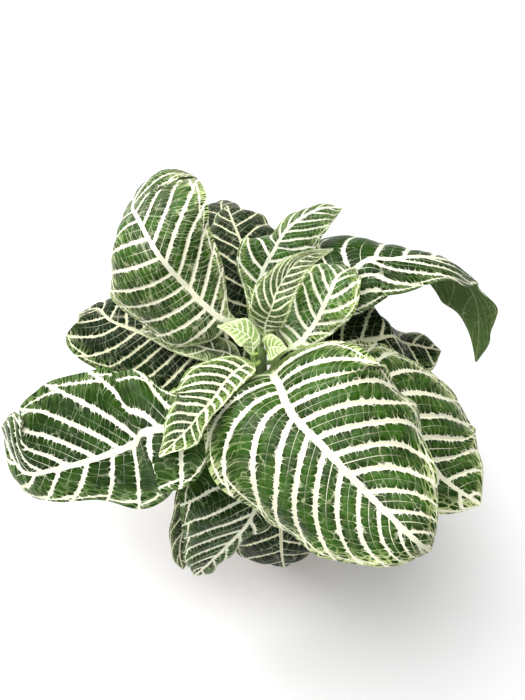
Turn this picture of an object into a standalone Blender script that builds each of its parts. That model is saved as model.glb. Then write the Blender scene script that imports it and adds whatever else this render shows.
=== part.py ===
"""Potted zebra plant: one upright stem with crossed pairs of broad, waved, ribbed leaves, in a plain round pot.

The origin is the middle of the pot's flat underside and +Z is up. Sizes are in millimetres until objects are made.
"""

import math

import bmesh
import bpy
import numpy as np

MM = 0.001
GAP = 0.3                      # clearance between pieces that touch

# Pot
POT_HEIGHT = 125.0
POT_BASE_RADIUS = 49.0
POT_TOP_RADIUS = 66.0
POT_RIM_HEIGHT = 20.0
POT_RIM_STEP = 3.5
POT_WALL = 4.0
POT_FLOOR = 6.0
POT_ROUND = 1.6
POT_SIDES = 40

# Soil
SOIL_BELOW_RIM = 11.0
SOIL_MOUND = 5.0
SOIL_CRUMB = 1.3
SOIL_RINGS = (0.20, 0.34, 0.48, 0.62, 0.76, 0.89, 1.0)
SOIL_SIDES = 30
SOIL_SEED = 7
STEM_HOLE_DEPTH = 45.0

# Stem
STEM_BASE_RADIUS = 6.4
STEM_TOP_RADIUS = 3.0
STEM_TOP = 286.0
BUD_LENGTH = 9.0
NODE_SWELL = 0.9
NODE_REACH = 4.5
STEM_RING_STEP = 2.6            # the closest that two rings of the stem stand
STEM_SIDES = 14

# Leaf shells
BLADE_HALF = 0.42              # half of the blade's thickness
EDGE_HALF = 0.31
RIB_GROOVE = 0.35
RIB_KEEL = 1.7
COLUMNS = (-1.0, -0.70, -0.38, -0.09, 0.0, 0.09, 0.38, 0.70, 1.0)
NARROW_COLUMNS = (-1.0, -0.55, -0.12, 0.0, 0.12, 0.55, 1.0)
NARROW = 35                    # leaves whose halves stay under this width have the narrow columns
WIDTH_STATIONS = (0.0, 0.12, 0.32, 0.54, 0.76, 0.93, 1.0)
TIP_HALF = 0.9
TIP_SPREAD = 0.06              # how far apart the last ribs still end by the tip
MIDRIB_SAMPLES = 241

# Each leaf: where its stalk leaves the stem (direction in degrees, height), the midrib's points, half-widths left
# and right of the midrib at the width stations, how steeply each half rises from the midrib and bends on to its
# margin (degrees at foot, middle, tip), side ribs to a side, how closely the first ribs stand (1 for even gaps), how
# strongly the left and right ribs sweep to the tip, margin wave (height, waves, phase), quilting height.
LEAVES = {
    "leaf_newest_left": dict(
        az=180, z=284, path=((-10, 10, 292), (-22, 15, 298), (-37, 16, 301)), foot=0.06, stalk=1.1,
        left=(8, 14, 13, 7, 2), right=(7, 13, 12, 6, 2), rise_l=(28, 22, 10), curl_l=(-20, -20, -10),
        rise_r=(25, 20, 10), curl_r=(-20, -20, -10), ribs=5, crowd=1.0, sweep=(0.6, 0.6), wave=(0.8, 3, 0.3),
        quilt=0.4, tone="newest"),
    "leaf_newest_right": dict(
        az=0, z=284, path=((9, 1, 291), (15, -1, 297), (24, -5, 299)), foot=0.06, stalk=1.1,
        left=(8, 12, 11, 7, 2), right=(7, 11, 11, 7, 2), rise_l=(30, 22, 10), curl_l=(-20, -20, -10),
        rise_r=(25, 20, 10), curl_r=(-20, -20, -10), ribs=5, crowd=1.0, sweep=(0.6, 0.6), wave=(0.8, 3, 0.1),
        quilt=0.4, tone="newest"),
    "leaf_young_back": dict(
        az=62, z=277, path=((2, 24, 285), (8, 29, 312), (12, 39, 320), (29, 55, 339), (58, 71, 333)),
        foot=0.12, stalk=1.6, left=(11, 21, 14, 5, 2), right=(15, 16, 15, 10, 3), rise_l=(29, 21, 20),
        curl_l=(-26, -27, -11), rise_r=(22, 27, 15), curl_r=(-31, -19, -10), ribs=11, crowd=1.2,
        sweep=(1.1, 0.7), wave=(1.2, 4, 0.2), quilt=0.6, tone="young"),
    "leaf_young_front": dict(
        az=235, z=277, path=((-12, -10, 283), (-27, -26, 290), (-40, -52, 299), (-48, -66, 306),
        (-59, -72, 289), (-82, -87, 271)), foot=0.08, stalk=1.7, left=(18, 12, 8, 14, 4),
        right=(16, 32, 33, 23, 7), rise_l=(41, 13, 12), curl_l=(-21, -43, -17), rise_r=(28, 14, 15),
        curl_r=(-33, -49, -11), ribs=11, crowd=1.2, sweep=(0.2, 0.9), wave=(1.2, 4, 0.6), quilt=0.8,
        tone="young"),
    "leaf_bright_right": dict(
        az=15, z=266, path=((19, 3, 283), (32, 12, 282), (44, 29, 283), (55, 44, 301), (62, 58, 309),
        (80, 84, 288)), foot=0.2, stalk=2.1, left=(32, 41, 36, 30, 23), right=(9, 19, 26, 17, 6),
        rise_l=(15, 10, 10), curl_l=(-43, -39, -14), rise_r=(21, 9, 6), curl_r=(-54, -40, -18), ribs=8,
        crowd=1.2, sweep=(1.4, 0.9), wave=(1.6, 4, 0.0), quilt=1.6, tone="bright"),
    "leaf_back_left": dict(
        az=140, z=258, path=((-12, 31, 278), (-35, 31, 290), (-62, 46, 314), (-84, 59, 342), (-100, 87, 349),
        (-109, 119, 332), (-92, 152, 330), (-59, 167, 299)), foot=0.17, stalk=2.6, left=(58, 62, 40, 20, 14),
        right=(25, 47, 60, 36, 20), rise_l=(1, -10, -46), curl_l=(-58, -65, -66), rise_r=(12, 24, 44),
        curl_r=(-19, -30, -67), ribs=14, crowd=1.5, sweep=(0.3, 1.0), wave=(2.6, 4, 0.1), quilt=1.4,
        tone="mature"),
    "leaf_front_right": dict(
        az=302, z=258, path=((8, -17, 278), (14, -33, 288), (24, -66, 302), (49, -96, 302), (78, -126, 294),
        (114, -160, 283), (128, -163, 266)), foot=0.07, stalk=2.7, left=(62, 91, 95, 57, 24),
        right=(67, 88, 86, 59, 19), rise_l=(48, 28, 13), curl_l=(-42, -82, -6), rise_r=(38, 4, -8),
        curl_r=(-47, -90, -18), ribs=12, crowd=1.25, sweep=(1.15, 1.35), wave=(2.2, 5, 0.4), quilt=1.6,
        tone="mature"),
    "leaf_back_upright": dict(
        az=85, z=254, path=((-5, 62, 280), (2, 79, 297), (10, 88, 308), (14, 103, 300), (26, 126, 293),
        (51, 143, 294), (72, 150, 287)), foot=0.25, stalk=2.2, left=(14, 31, 12, 12, 8),
        right=(21, 42, 36, 25, 12), rise_l=(27, 0, -27), curl_l=(-32, -67, -60), rise_r=(13, 9, 7),
        curl_r=(-35, -32, -17), ribs=10, crowd=1.3, sweep=(0.7, 1.7), wave=(2.2, 4, 0.5), quilt=1.2,
        tone="young_dark"),
    "leaf_left": dict(
        az=212, z=244, path=((-21, -17, 264), (-45, -49, 263), (-75, -59, 265), (-97, -63, 265),
        (-104, -65, 251), (-131, -66, 227), (-179, -70, 205), (-210, -64, 186), (-240, -16, 175)), foot=0.2,
        stalk=2.8, left=(49, 54, 33, 22, 6), right=(34, 70, 75, 55, 41), rise_l=(13, 2, -1),
        curl_l=(-23, -22, -22), rise_r=(-13, 8, 26), curl_r=(-29, -1, -14), ribs=9, crowd=1.12,
        sweep=(0.3, 1.9), wave=(2.2, 4, 0.7), quilt=1.6, tone="mature"),
    "leaf_arching_right": dict(
        az=40, z=241, path=((34, 62, 259), (68, 76, 275), (92, 93, 286), (114, 96, 283), (137, 101, 280),
        (168, 106, 266), (184, 116, 233), (202, 103, 209), (209, 87, 180), (210, 68, 149)), foot=0.08,
        stalk=2.6, left=(29, 63, 39, 36, 7), right=(14, 39, 27, 24, 11), rise_l=(31, -36, -75),
        curl_l=(-16, -57, -6), rise_r=(3, 27, 84), curl_r=(-35, -30, -16), ribs=12, crowd=1.2,
        sweep=(0.5, 1.3), wave=(3.4, 7, 0.2), quilt=1.4, tone="old"),
    "leaf_back": dict(
        az=98, z=230, path=((-11, 60, 248), (-15, 88, 254), (-19, 132, 252), (-26, 160, 245),
        (-35, 199, 228)), foot=0.22, stalk=2.6, left=(32, 40, 38, 28, 14), right=(30, 42, 44, 40, 26),
        rise_l=(14, 10, 0), curl_l=(-30, -35, -30), rise_r=(14, 8, 0), curl_r=(-30, -40, -30), ribs=7,
        crowd=1.2, sweep=(1.3, 1.0), wave=(2.6, 4, 0.3), quilt=1.5, tone="old"),
    "leaf_low_left": dict(
        az=172, z=224, path=((-26, 12, 238), (-52, 18, 244), (-80, 32, 240), (-109, 52, 230),
        (-139, 68, 226), (-154, 88, 214), (-176, 94, 195)), foot=0.09, stalk=2.6, left=(19, 53, 46, 45, 15),
        right=(31, 43, 45, 32, 14), rise_l=(10, -14, 23), curl_l=(-39, -20, -7), rise_r=(14, 7, 3),
        curl_r=(-30, -39, -27), ribs=13, crowd=1.4, sweep=(0.6, 0.5), wave=(2.6, 4, 0.8), quilt=1.5,
        tone="old"),
    "leaf_right": dict(
        az=332, z=230, path=((35, -1, 251), (74, -21, 246), (112, -38, 245), (130, -57, 237),
        (151, -83, 219), (184, -103, 207)), foot=0.17, stalk=2.7, left=(57, 72, 71, 63, 36),
        right=(43, 48, 46, 38, 16), rise_l=(12, 5, 4), curl_l=(-29, -45, -18), rise_r=(10, 6, 0),
        curl_r=(-26, -34, -20), ribs=10, crowd=1.4, sweep=(1.0, 0.4), wave=(1.3, 4, 0.1), quilt=1.6,
        tone="mature"),
    "leaf_low_right": dict(
        az=10, z=214, path=((41, 36, 218), (75, 46, 222), (99, 47, 226), (116, 50, 228), (133, 63, 194),
        (172, 68, 171)), foot=0.2, stalk=2.6, left=(39, 61, 44, 23, 19), right=(33, 38, 42, 35, 23),
        rise_l=(15, 7, 3), curl_l=(-30, -38, -22), rise_r=(9, 2, 2), curl_r=(-30, -39, -28), ribs=11,
        crowd=1.4, sweep=(0.5, 0.3), wave=(2.4, 4, 0.5), quilt=1.5, tone="old"),
    "leaf_low_back": dict(
        az=112, z=212, path=((-17, 88, 224), (-30, 143, 227), (-40, 183, 219), (-49, 219, 196),
        (-53, 236, 175)), foot=0.14, stalk=2.4, left=(26, 36, 34, 26, 12), right=(26, 34, 32, 24, 12),
        rise_l=(12, 8, 0), curl_l=(-30, -40, -30), rise_r=(12, 8, 0), curl_r=(-30, -40, -30), ribs=6,
        crowd=1.25, sweep=(0.7, 0.7), wave=(2.2, 4, 0.0), quilt=1.4, tone="old"),
    "leaf_low_front": dict(
        az=262, z=200, path=((9, -54, 221), (10, -74, 205), (-2, -89, 190), (-12, -106, 175),
        (-26, -114, 152), (-44, -123, 126), (-63, -130, 96)), foot=0.2, stalk=2.6, left=(29, 34, 17, 11, 13),
        right=(47, 76, 60, 36, 17), rise_l=(15, 6, -2), curl_l=(-30, -38, -21), rise_r=(12, 13, -4),
        curl_r=(-31, -14, -11), ribs=11, crowd=1.3, sweep=(0.4, 1.8), wave=(2.0, 4, 0.3), quilt=1.6,
        tone="old"),
    "leaf_low_front_right": dict(
        az=284, z=174, path=((9, -44, 184), (14, -76, 175), (16, -101, 158), (17, -114, 130), (19, -117, 98),
        (21, -116, 77)), foot=0.2, stalk=2.4, left=(30, 46, 50, 42, 20), right=(30, 46, 52, 44, 20),
        rise_l=(14, 8, 0), curl_l=(-30, -44, -30), rise_r=(14, 8, 0), curl_r=(-30, -44, -30), ribs=6,
        crowd=1.25, sweep=(0.7, 0.7), wave=(2.4, 4, 0.6), quilt=1.5, tone="old"),
    "leaf_edge_on": dict(
        az=236, z=184, path=((-25, -18, 188), (-44, -43, 175), (-60, -71, 155), (-72, -92, 127),
        (-78, -107, 98), (-76, -117, 73)), foot=0.2, stalk=2.4, left=(18, 26, 28, 22, 10),
        right=(16, 18, 14, 10, 5), rise_l=(-30, -60, -60), curl_l=(-30, -30, -20), rise_r=(30, 45, 40),
        curl_r=(-30, -30, -20), ribs=6, crowd=1.25, sweep=(0.7, 0.7), wave=(2.2, 4, 0.2), quilt=1.3,
        tone="old"),
    "leaf_small_left": dict(
        az=158, z=240, path=((-30, 20, 249), (-45, 19, 258), (-67, 25, 260), (-89, 37, 254),
        (-109, 48, 242)), foot=0.14, stalk=2.0, left=(9, 12, 12, 9, 4), right=(9, 16, 19, 14, 6),
        rise_l=(20, 15, 5), curl_l=(-30, -30, -20), rise_r=(20, 15, 5), curl_r=(-30, -30, -20), ribs=5,
        crowd=1.25, sweep=(0.7, 0.7), wave=(1.4, 4, 0.4), quilt=0.9, tone="mature"),
    "leaf_curled_small": dict(
        az=112, z=266, path=((-3, 35, 276), (-6, 45, 282), (-10, 55, 287), (-15, 66, 288)), foot=0.2,
        stalk=1.6, left=(6, 9, 9, 6, 3), right=(5, 8, 8, 6, 3), rise_l=(55, 60, 50), curl_l=(-40, -50, -30),
        rise_r=(55, 60, 50), curl_r=(-40, -50, -30), ribs=4, crowd=1.25, sweep=(0.7, 0.7),
        wave=(0.8, 3, 0.2), quilt=0.5, tone="young"),
}
TONES = {
    "newest": (0.42, 0.66, 0.12),
    "young": (0.20, 0.42, 0.06),
    "bright": (0.12, 0.33, 0.04),
    "young_dark": (0.07, 0.20, 0.04),
    "mature": (0.05, 0.15, 0.035),
    "old": (0.012, 0.04, 0.018),
}


def clear_scene():
    """Take away whatever the file opened with."""
    for thing in list(bpy.data.objects):
        bpy.data.objects.remove(thing, do_unlink=True)


def material(name, colour, roughness, specular=0.5):
    """A plain finish of one colour."""
    finish = bpy.data.materials.new(name)
    finish.use_nodes = True
    shader = finish.node_tree.nodes["Principled BSDF"]
    shader.inputs["Base Color"].default_value = (*colour, 1.0)
    shader.inputs["Roughness"].default_value = roughness
    shader.inputs["Specular IOR Level"].default_value = specular
    finish.diffuse_color = (*colour, 1.0)
    return finish


def clay_finish():
    return material("fired_clay", (0.55, 0.23, 0.12), 0.85, 0.3)


def soil_finish():
    return material("potting_soil", (0.035, 0.022, 0.014), 0.95, 0.2)


def stem_finish():
    return material("green_stem", (0.10, 0.16, 0.05), 0.5)


def leaf_finish(name, tone):
    return material(name + "_green", TONES[tone], 0.32)


def monotone(xs, ys, x):
    """A smooth curve through the stations that never overshoots them."""
    xs, ys, x = np.asarray(xs, float), np.asarray(ys, float), np.asarray(x, float)
    h = np.diff(xs)
    d = np.diff(ys) / h
    m = np.zeros_like(ys)
    for i in range(1, len(xs) - 1):
        if d[i - 1] * d[i] > 0:
            a, b = 2 * h[i] + h[i - 1], h[i] + 2 * h[i - 1]
            m[i] = (a + b) / (a / d[i - 1] + b / d[i])
    m[0], m[-1] = d[0], d[-1]
    k = np.clip(np.searchsorted(xs, x, side="right") - 1, 0, len(h) - 1)
    u = (x - xs[k]) / h[k]
    return ((1 + 2 * u) * (1 - u) ** 2 * ys[k] + u * (1 - u) ** 2 * h[k] * m[k]
            + u * u * (3 - 2 * u) * ys[k + 1] + u * u * (u - 1) * h[k] * m[k + 1])


def flowing_line(points, per=24):
    """A centripetal Catmull-Rom line through the points."""
    p = np.asarray(points, float)
    p = np.vstack([2 * p[0] - p[1], p, 2 * p[-1] - p[-2]])
    out = []
    for i in range(1, len(p) - 2):
        t = [0.0]
        for a in (i - 1, i, i + 1):
            t.append(t[-1] + math.sqrt(np.linalg.norm(p[a + 1] - p[a])) + 1e-9)
        for u in np.linspace(t[1], t[2], per, endpoint=False):
            def mix(a, b, ta, tb):
                return (tb - u) / (tb - ta) * a + (u - ta) / (tb - ta) * b
            a1, a2, a3 = (mix(p[i - 1 + k], p[i + k], t[k], t[k + 1]) for k in range(3))
            b1, b2 = mix(a1, a2, t[0], t[2]), mix(a2, a3, t[1], t[3])
            out.append(mix(b1, b2, t[1], t[2]))
    out.append(p[-2])
    return np.array(out)


def stem_radius(z):
    """Radius of the stem at a height, with a swelling where leaves leave it."""
    low = POT_HEIGHT - SOIL_BELOW_RIM
    share = np.clip((z - low) / (STEM_TOP - low), 0, 1)
    plain = STEM_BASE_RADIUS + (STEM_TOP_RADIUS - STEM_BASE_RADIUS) * share
    swell = max(math.exp(-((z - leaf["z"] + 1.0) / NODE_REACH) ** 2) for leaf in LEAVES.values())
    return float(plain + NODE_SWELL * swell * (1 - 0.5 * share))


class Midrib:
    """The line of a leaf from the stem to its tip, with a frame carried along it without twisting."""

    def __init__(self, leaf):
        az = math.radians(leaf["az"])
        out = np.array([math.cos(az), math.sin(az), 0.0])
        reach = max(stem_radius(leaf["z"] + dz) for dz in (-leaf["stalk"], 0.0, leaf["stalk"]))
        start = out * (reach + GAP) + np.array([0.0, 0.0, leaf["z"]])
        line = flowing_line([start, start + out * 4.0] + [np.array(p, float) for p in leaf["path"]])
        arc_length = np.concatenate([[0], np.cumsum(np.linalg.norm(np.diff(line, axis=0), axis=1))])
        self.length = arc_length[-1]
        self.share = np.linspace(0, 1, MIDRIB_SAMPLES)
        self.point = np.stack([np.interp(self.share * self.length, arc_length, line[:, k]) for k in range(3)], 1)
        along = np.gradient(self.point, axis=0)
        along /= np.linalg.norm(along, axis=1)[:, None]
        along[0] = out
        for _ in range(3):
            along[1:-1] = (along[:-2] + along[1:-1] + along[2:]) / 3
            along /= np.linalg.norm(along, axis=1)[:, None]
        up = [np.array([0.0, 0.0, 1.0])]
        for t in along[1:]:
            v = up[-1] - t * (up[-1] @ t)
            up.append(v / np.linalg.norm(v))
        self.up = np.array(up)
        self.left = np.cross(self.up, along)

    def at(self, share):
        """Points, left directions and upward directions at shares of the length."""
        found = []
        for table in (self.point, self.left, self.up):
            found.append(np.stack([np.interp(share, self.share, table[:, k]) for k in range(3)], -1))
        for unit in found[1:]:
            unit /= np.linalg.norm(unit, axis=-1)[..., None]
        return found


def half_width(leaf, side, blade):
    widths = leaf["left"] if side > 0 else leaf["right"]
    return monotone(WIDTH_STATIONS, (leaf["stalk"], *widths, TIP_HALF), np.clip(blade, 0, 1))


def turned(values, blade):
    return np.radians(monotone(np.linspace(0, 1, len(values)), values, np.clip(blade, 0, 1)))


def leaf_surface(leaf, rib, start, across, rise_quilt):
    """Points on a leaf's middle surface and the directions out of it.

    start is where each side rib leaves the midrib (a share of the length), across runs from -1 to 1.
    """
    foot = leaf["foot"]
    blade = np.clip((start - foot) / (1 - foot), 0, 1)
    reach = np.abs(across)
    side = np.where(across >= 0, 1.0, -1.0)
    on_left = across >= 0
    lean = np.where(on_left, *leaf["sweep"]) * (reach + reach ** 2) / 2
    leant = 1 - (1 - blade) * (TIP_SPREAD + (1 - TIP_SPREAD) * (1 - blade) ** lean)
    share = np.where(start > foot, foot + (1 - foot) * leant, start)
    centre, left, up = rib.at(share)
    width = np.where(on_left, half_width(leaf, 1, leant), half_width(leaf, -1, leant))
    rise = np.where(on_left, turned(leaf["rise_l"], leant), turned(leaf["rise_r"], leant))
    curl = np.where(on_left, turned(leaf["curl_l"], leant), turned(leaf["curl_r"], leant))
    bend = np.where(np.abs(curl) < 1e-4, 1e-4, curl)
    turn = rise + bend * reach
    out = (np.sin(turn) - np.sin(rise)) / bend * width
    lift = (np.cos(rise) - np.cos(turn)) / bend * width
    flat = left * side[..., None]
    normal = up * np.cos(turn)[..., None] - flat * np.sin(turn)[..., None]
    height, waves, phase = leaf["wave"]
    fade = np.clip(leant / 0.15, 0, 1) * np.clip((1 - leant) / 0.12, 0, 1)
    wave = height * reach ** 2.2 * fade * np.sin(2 * math.pi * (waves * leant + phase + 0.17 * (1 - side)))
    body = np.sin(math.pi * np.clip(reach, 0, 1) ** 0.8) * 0.85 + 0.25 * reach
    quilt = leaf["quilt"] * rise_quilt * body * fade
    point = centre + flat * out[..., None] + up * lift[..., None] + normal * (wave + quilt)[..., None]
    return point, normal, width


def leaf_thickness(leaf, start, across, width):
    """Thickness above and below the middle surface: a stalk that thins into a blade with a keel."""
    foot = leaf["foot"]
    reach = np.abs(across)
    share = np.clip((start - foot * 0.55) / (foot * 0.75), 0, 1)
    blend = share * share * (3 - 2 * share)
    round_half = leaf["stalk"] * np.sqrt(np.clip(1 - (0.94 * reach) ** 2, 0, 1))
    plain = BLADE_HALF + (EDGE_HALF - BLADE_HALF) * reach
    along = np.clip((start - foot) / (1 - foot), 0, 1)
    scale = leaf["stalk"] / 2.6
    keel = RIB_KEEL * scale * (1 - along) ** 0.8 * np.clip(1 - reach / 0.09, 0, 1)
    groove = RIB_GROOVE * scale * (1 - along) * np.clip(1 - reach / 0.09, 0, 1)
    top = round_half * (1 - blend) + (plain - groove) * blend
    low = round_half * (1 - blend) + (plain + keel) * blend
    return top, low


def leaf_rows(leaf):
    """Rows across a leaf: the stalk's, then a rib and a swelling in turn, then the tip."""
    foot = leaf["foot"]
    rows = [(0.0, 0.0), (foot * 0.5, 0.0), (foot, 0.0)]
    count = 2 * leaf["ribs"] + 1
    for i in range(1, count + 1):
        rows.append((foot + (1 - foot) * (i / (count + 1)) ** leaf["crowd"], 1.0 if i % 2 == 0 else -0.25))
    rows.append((1.0, 0.0))
    return rows


def leaf_object(name, leaf, collection):
    """One closed leaf with its stalk, split into triangles the same way on both faces."""
    rib = Midrib(leaf)
    rows = leaf_rows(leaf)
    columns = NARROW_COLUMNS if max(*leaf["left"], *leaf["right"]) < NARROW else COLUMNS
    start = np.array([r[0] for r in rows])[:, None] * np.ones(len(columns))
    lift = np.array([r[1] for r in rows])[:, None] * np.ones(len(columns))
    across = np.array(columns)[None, :] * np.ones((len(rows), 1))
    point, normal, width = leaf_surface(leaf, rib, start, across, lift)
    top, low = leaf_thickness(leaf, start, across, width)
    upper = point + normal * top[..., None]
    lower = point - normal * low[..., None]
    n, m = across.shape
    verts = [tuple(v * MM) for v in np.concatenate([upper.reshape(-1, 3), lower.reshape(-1, 3)])]
    under = n * m
    faces = []
    for i in range(n - 1):
        for j in range(m - 1):
            a, b, c, d = i * m + j, i * m + j + 1, (i + 1) * m + j + 1, (i + 1) * m + j
            split = ((a, b, c), (a, c, d)) if j >= m // 2 else ((a, b, d), (b, c, d))
            for x, y, z in split:
                faces += [(x, y, z), (z + under, y + under, x + under)]
        for j, turn in ((0, False), (m - 1, True)):
            a, d = i * m + j, (i + 1) * m + j
            quad = ((a, d, d + under), (a, d + under, a + under))
            faces += [q[::-1] if turn else q for q in quad]
    for i, turn in ((0, True), (n - 1, False)):
        for j in range(m - 1):
            a, b = i * m + j, i * m + j + 1
            quad = ((a, b, b + under), (a, b + under, a + under))
            faces += [q[::-1] if turn else q for q in quad]
    mesh = bpy.data.meshes.new(name)
    mesh.from_pydata(verts, [], [f[::-1] for f in faces])
    shape = bmesh.new()
    shape.from_mesh(mesh)
    bmesh.ops.recalc_face_normals(shape, faces=shape.faces)
    shape.to_mesh(mesh)
    shape.free()
    mesh.materials.append(leaf_finish(name, leaf["tone"]))
    thing = bpy.data.objects.new(name, mesh)
    collection.objects.link(thing)
    return thing


def turned_object(name, profile, sides, finish, collection):
    """A solid of revolution about Z from a profile of (radius, height) points."""
    mesh = bpy.data.meshes.new(name)
    mesh.from_pydata([(r * MM, 0.0, z * MM) for r, z in profile], [(i, i + 1) for i in range(len(profile) - 1)], [])
    mesh.materials.append(finish)
    thing = bpy.data.objects.new(name, mesh)
    collection.objects.link(thing)
    screw = thing.modifiers.new("turn", "SCREW")
    screw.axis = "Z"
    screw.steps = sides
    screw.render_steps = sides
    screw.use_merge_vertices = True
    screw.merge_threshold = 0.00001
    return thing


def pot_object(collection):
    """A plain round pot with a rim band, solid underneath."""
    rim_low = POT_HEIGHT - POT_RIM_HEIGHT
    slope = (POT_TOP_RADIUS - POT_RIM_STEP - POT_BASE_RADIUS) / rim_low
    under_rim = POT_BASE_RADIUS + slope * rim_low
    inner_top = POT_TOP_RADIUS - POT_WALL - POT_RIM_STEP * 0.6
    inner_low = POT_BASE_RADIUS + slope * POT_FLOOR - POT_WALL
    profile = [
        (0.0, POT_FLOOR), (inner_low - POT_ROUND, POT_FLOOR), (inner_low, POT_FLOOR + POT_ROUND),
        (inner_top - 0.5, POT_HEIGHT - POT_ROUND), (inner_top, POT_HEIGHT - 0.4), (inner_top + 0.7, POT_HEIGHT),
        (POT_TOP_RADIUS - POT_ROUND, POT_HEIGHT), (POT_TOP_RADIUS - 0.4, POT_HEIGHT - 0.5),
        (POT_TOP_RADIUS, POT_HEIGHT - POT_ROUND), (POT_TOP_RADIUS - 0.8, rim_low + POT_ROUND),
        (POT_TOP_RADIUS - 1.4, rim_low + 0.4), (POT_TOP_RADIUS - 2.2, rim_low), (under_rim, rim_low),
        (POT_BASE_RADIUS + slope * POT_ROUND, POT_ROUND), (POT_BASE_RADIUS - 0.5, 0.4),
        (POT_BASE_RADIUS - POT_ROUND, 0.0), (0.0, 0.0),
    ]
    return turned_object("pot", profile, POT_SIDES, clay_finish(), collection)


def soil_radius(z):
    """Radius of the pot's inside at a height, less the clearance."""
    rim_low = POT_HEIGHT - POT_RIM_HEIGHT
    slope = (POT_TOP_RADIUS - POT_RIM_STEP - POT_BASE_RADIUS) / rim_low
    low_r, low_z = POT_BASE_RADIUS + slope * POT_FLOOR - POT_WALL, POT_FLOOR + POT_ROUND
    top_r, top_z = POT_TOP_RADIUS - POT_WALL - POT_RIM_STEP * 0.6 - 0.5, POT_HEIGHT - POT_ROUND
    inside = low_r + (top_r - low_r) * (z - low_z) / (top_z - low_z)
    return (inside - GAP * 1.4) * math.cos(math.pi / POT_SIDES)


def soil_object(collection):
    """Soil that fills the pot, crumbly on top, with a plain hole for the stem."""
    rng = np.random.default_rng(SOIL_SEED)
    top = POT_HEIGHT - SOIL_BELOW_RIM
    hole = STEM_BASE_RADIUS + NODE_SWELL * 0.2 + GAP
    low = POT_FLOOR + GAP
    rings = []

    def ring(radius, heights):
        rings.append([(radius * math.cos(2 * math.pi * k / SOIL_SIDES), radius * math.sin(2 * math.pi * k / SOIL_SIDES),
                       heights[k]) for k in range(SOIL_SIDES)])

    ring(hole, [top - STEM_HOLE_DEPTH] * SOIL_SIDES)
    ring(hole, [top + SOIL_MOUND] * SOIL_SIDES)
    for share in SOIL_RINGS:
        mound = top + SOIL_MOUND * (1 - share) ** 0.7
        radius = soil_radius(top - 2.0) * share
        crumb = rng.uniform(-SOIL_CRUMB, SOIL_CRUMB, SOIL_SIDES) * (1.0 if share < 1 else 0.2)
        ring(radius, list(mound + crumb))
    ring(soil_radius(POT_FLOOR + POT_ROUND * 2), [POT_FLOOR + POT_ROUND * 2] * SOIL_SIDES)
    ring(soil_radius(POT_FLOOR + POT_ROUND * 2) - 2.4, [low] * SOIL_SIDES)
    verts, faces = [], []
    for r in rings:
        verts += [(x * MM, y * MM, z * MM) for x, y, z in r]
    for i in range(len(rings) - 1):
        for k in range(SOIL_SIDES):
            a, b = i * SOIL_SIDES + k, i * SOIL_SIDES + (k + 1) % SOIL_SIDES
            c, d = b + SOIL_SIDES, a + SOIL_SIDES
            faces += [(a, b, c), (a, c, d)]
    for i, z in ((0, top - STEM_HOLE_DEPTH), (len(rings) - 1, low)):
        verts.append((0.0, 0.0, z * MM))
        for k in range(SOIL_SIDES):
            a, b = i * SOIL_SIDES + k, i * SOIL_SIDES + (k + 1) % SOIL_SIDES
            faces.append((b, a, len(verts) - 1) if i == 0 else (a, b, len(verts) - 1))
    mesh = bpy.data.meshes.new("soil")
    mesh.from_pydata(verts, [], faces)
    shape = bmesh.new()
    shape.from_mesh(mesh)
    bmesh.ops.recalc_face_normals(shape, faces=shape.faces)
    shape.to_mesh(mesh)
    shape.free()
    mesh.materials.append(soil_finish())
    thing = bpy.data.objects.new("soil", mesh)
    collection.objects.link(thing)
    return thing


def stem_object(collection):
    """The upright stem with swollen nodes, ending in a small pointed bud."""
    top = POT_HEIGHT - SOIL_BELOW_RIM
    foot = top - STEM_HOLE_DEPTH + GAP
    heights = [top + 8.0] + sorted({leaf["z"] + dz for leaf in LEAVES.values() for dz in (-5.0, -1.0, 3.0)})
    heights = [h for h in heights if top < h < STEM_TOP - 2.0]
    kept = [heights[0]]
    for h in heights[1:]:
        if h - kept[-1] > STEM_RING_STEP:
            kept.append(h)
    profile = [(0.0, foot), (STEM_BASE_RADIUS, foot)] + [(stem_radius(h), h) for h in kept]
    profile += [(STEM_TOP_RADIUS, STEM_TOP), (STEM_TOP_RADIUS * 0.75, STEM_TOP + BUD_LENGTH * 0.4),
                (STEM_TOP_RADIUS * 0.35, STEM_TOP + BUD_LENGTH * 0.8), (0.0, STEM_TOP + BUD_LENGTH)]
    return turned_object("stem", profile[::-1], STEM_SIDES, stem_finish(), collection)


def main():
    clear_scene()
    collection = bpy.data.collections.new("potted_zebra_plant")
    bpy.context.scene.collection.children.link(collection)
    pot_object(collection)
    soil_object(collection)
    stem_object(collection)
    for name, leaf in LEAVES.items():
        leaf_object(name, leaf, collection)


if __name__ == "__main__":
    main()
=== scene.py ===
"""Potted zebra plant: the finished look of the leaves, the stem, the soil and the clay pot.

Lengths in the shape tables are millimetres, as in the part's source; meshes and materials are in metres.
"""

import logging
import math
from dataclasses import dataclass, field, replace
from enum import Enum

import bpy
import numpy as np
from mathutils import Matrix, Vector


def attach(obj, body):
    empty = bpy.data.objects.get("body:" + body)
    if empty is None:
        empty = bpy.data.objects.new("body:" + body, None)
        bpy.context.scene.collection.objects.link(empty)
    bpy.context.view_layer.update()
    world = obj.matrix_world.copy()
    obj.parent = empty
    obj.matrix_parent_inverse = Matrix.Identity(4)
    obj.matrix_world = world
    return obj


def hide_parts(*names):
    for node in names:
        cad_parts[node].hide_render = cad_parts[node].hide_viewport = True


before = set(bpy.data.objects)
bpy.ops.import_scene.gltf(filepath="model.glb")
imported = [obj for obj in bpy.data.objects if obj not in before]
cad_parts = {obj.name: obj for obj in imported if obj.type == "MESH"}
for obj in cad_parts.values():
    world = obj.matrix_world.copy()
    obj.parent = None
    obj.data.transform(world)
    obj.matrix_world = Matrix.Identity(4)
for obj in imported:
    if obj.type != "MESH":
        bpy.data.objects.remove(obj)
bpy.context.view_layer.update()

LOG = logging.getLogger("zebra_plant")
MM = 0.001
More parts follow.
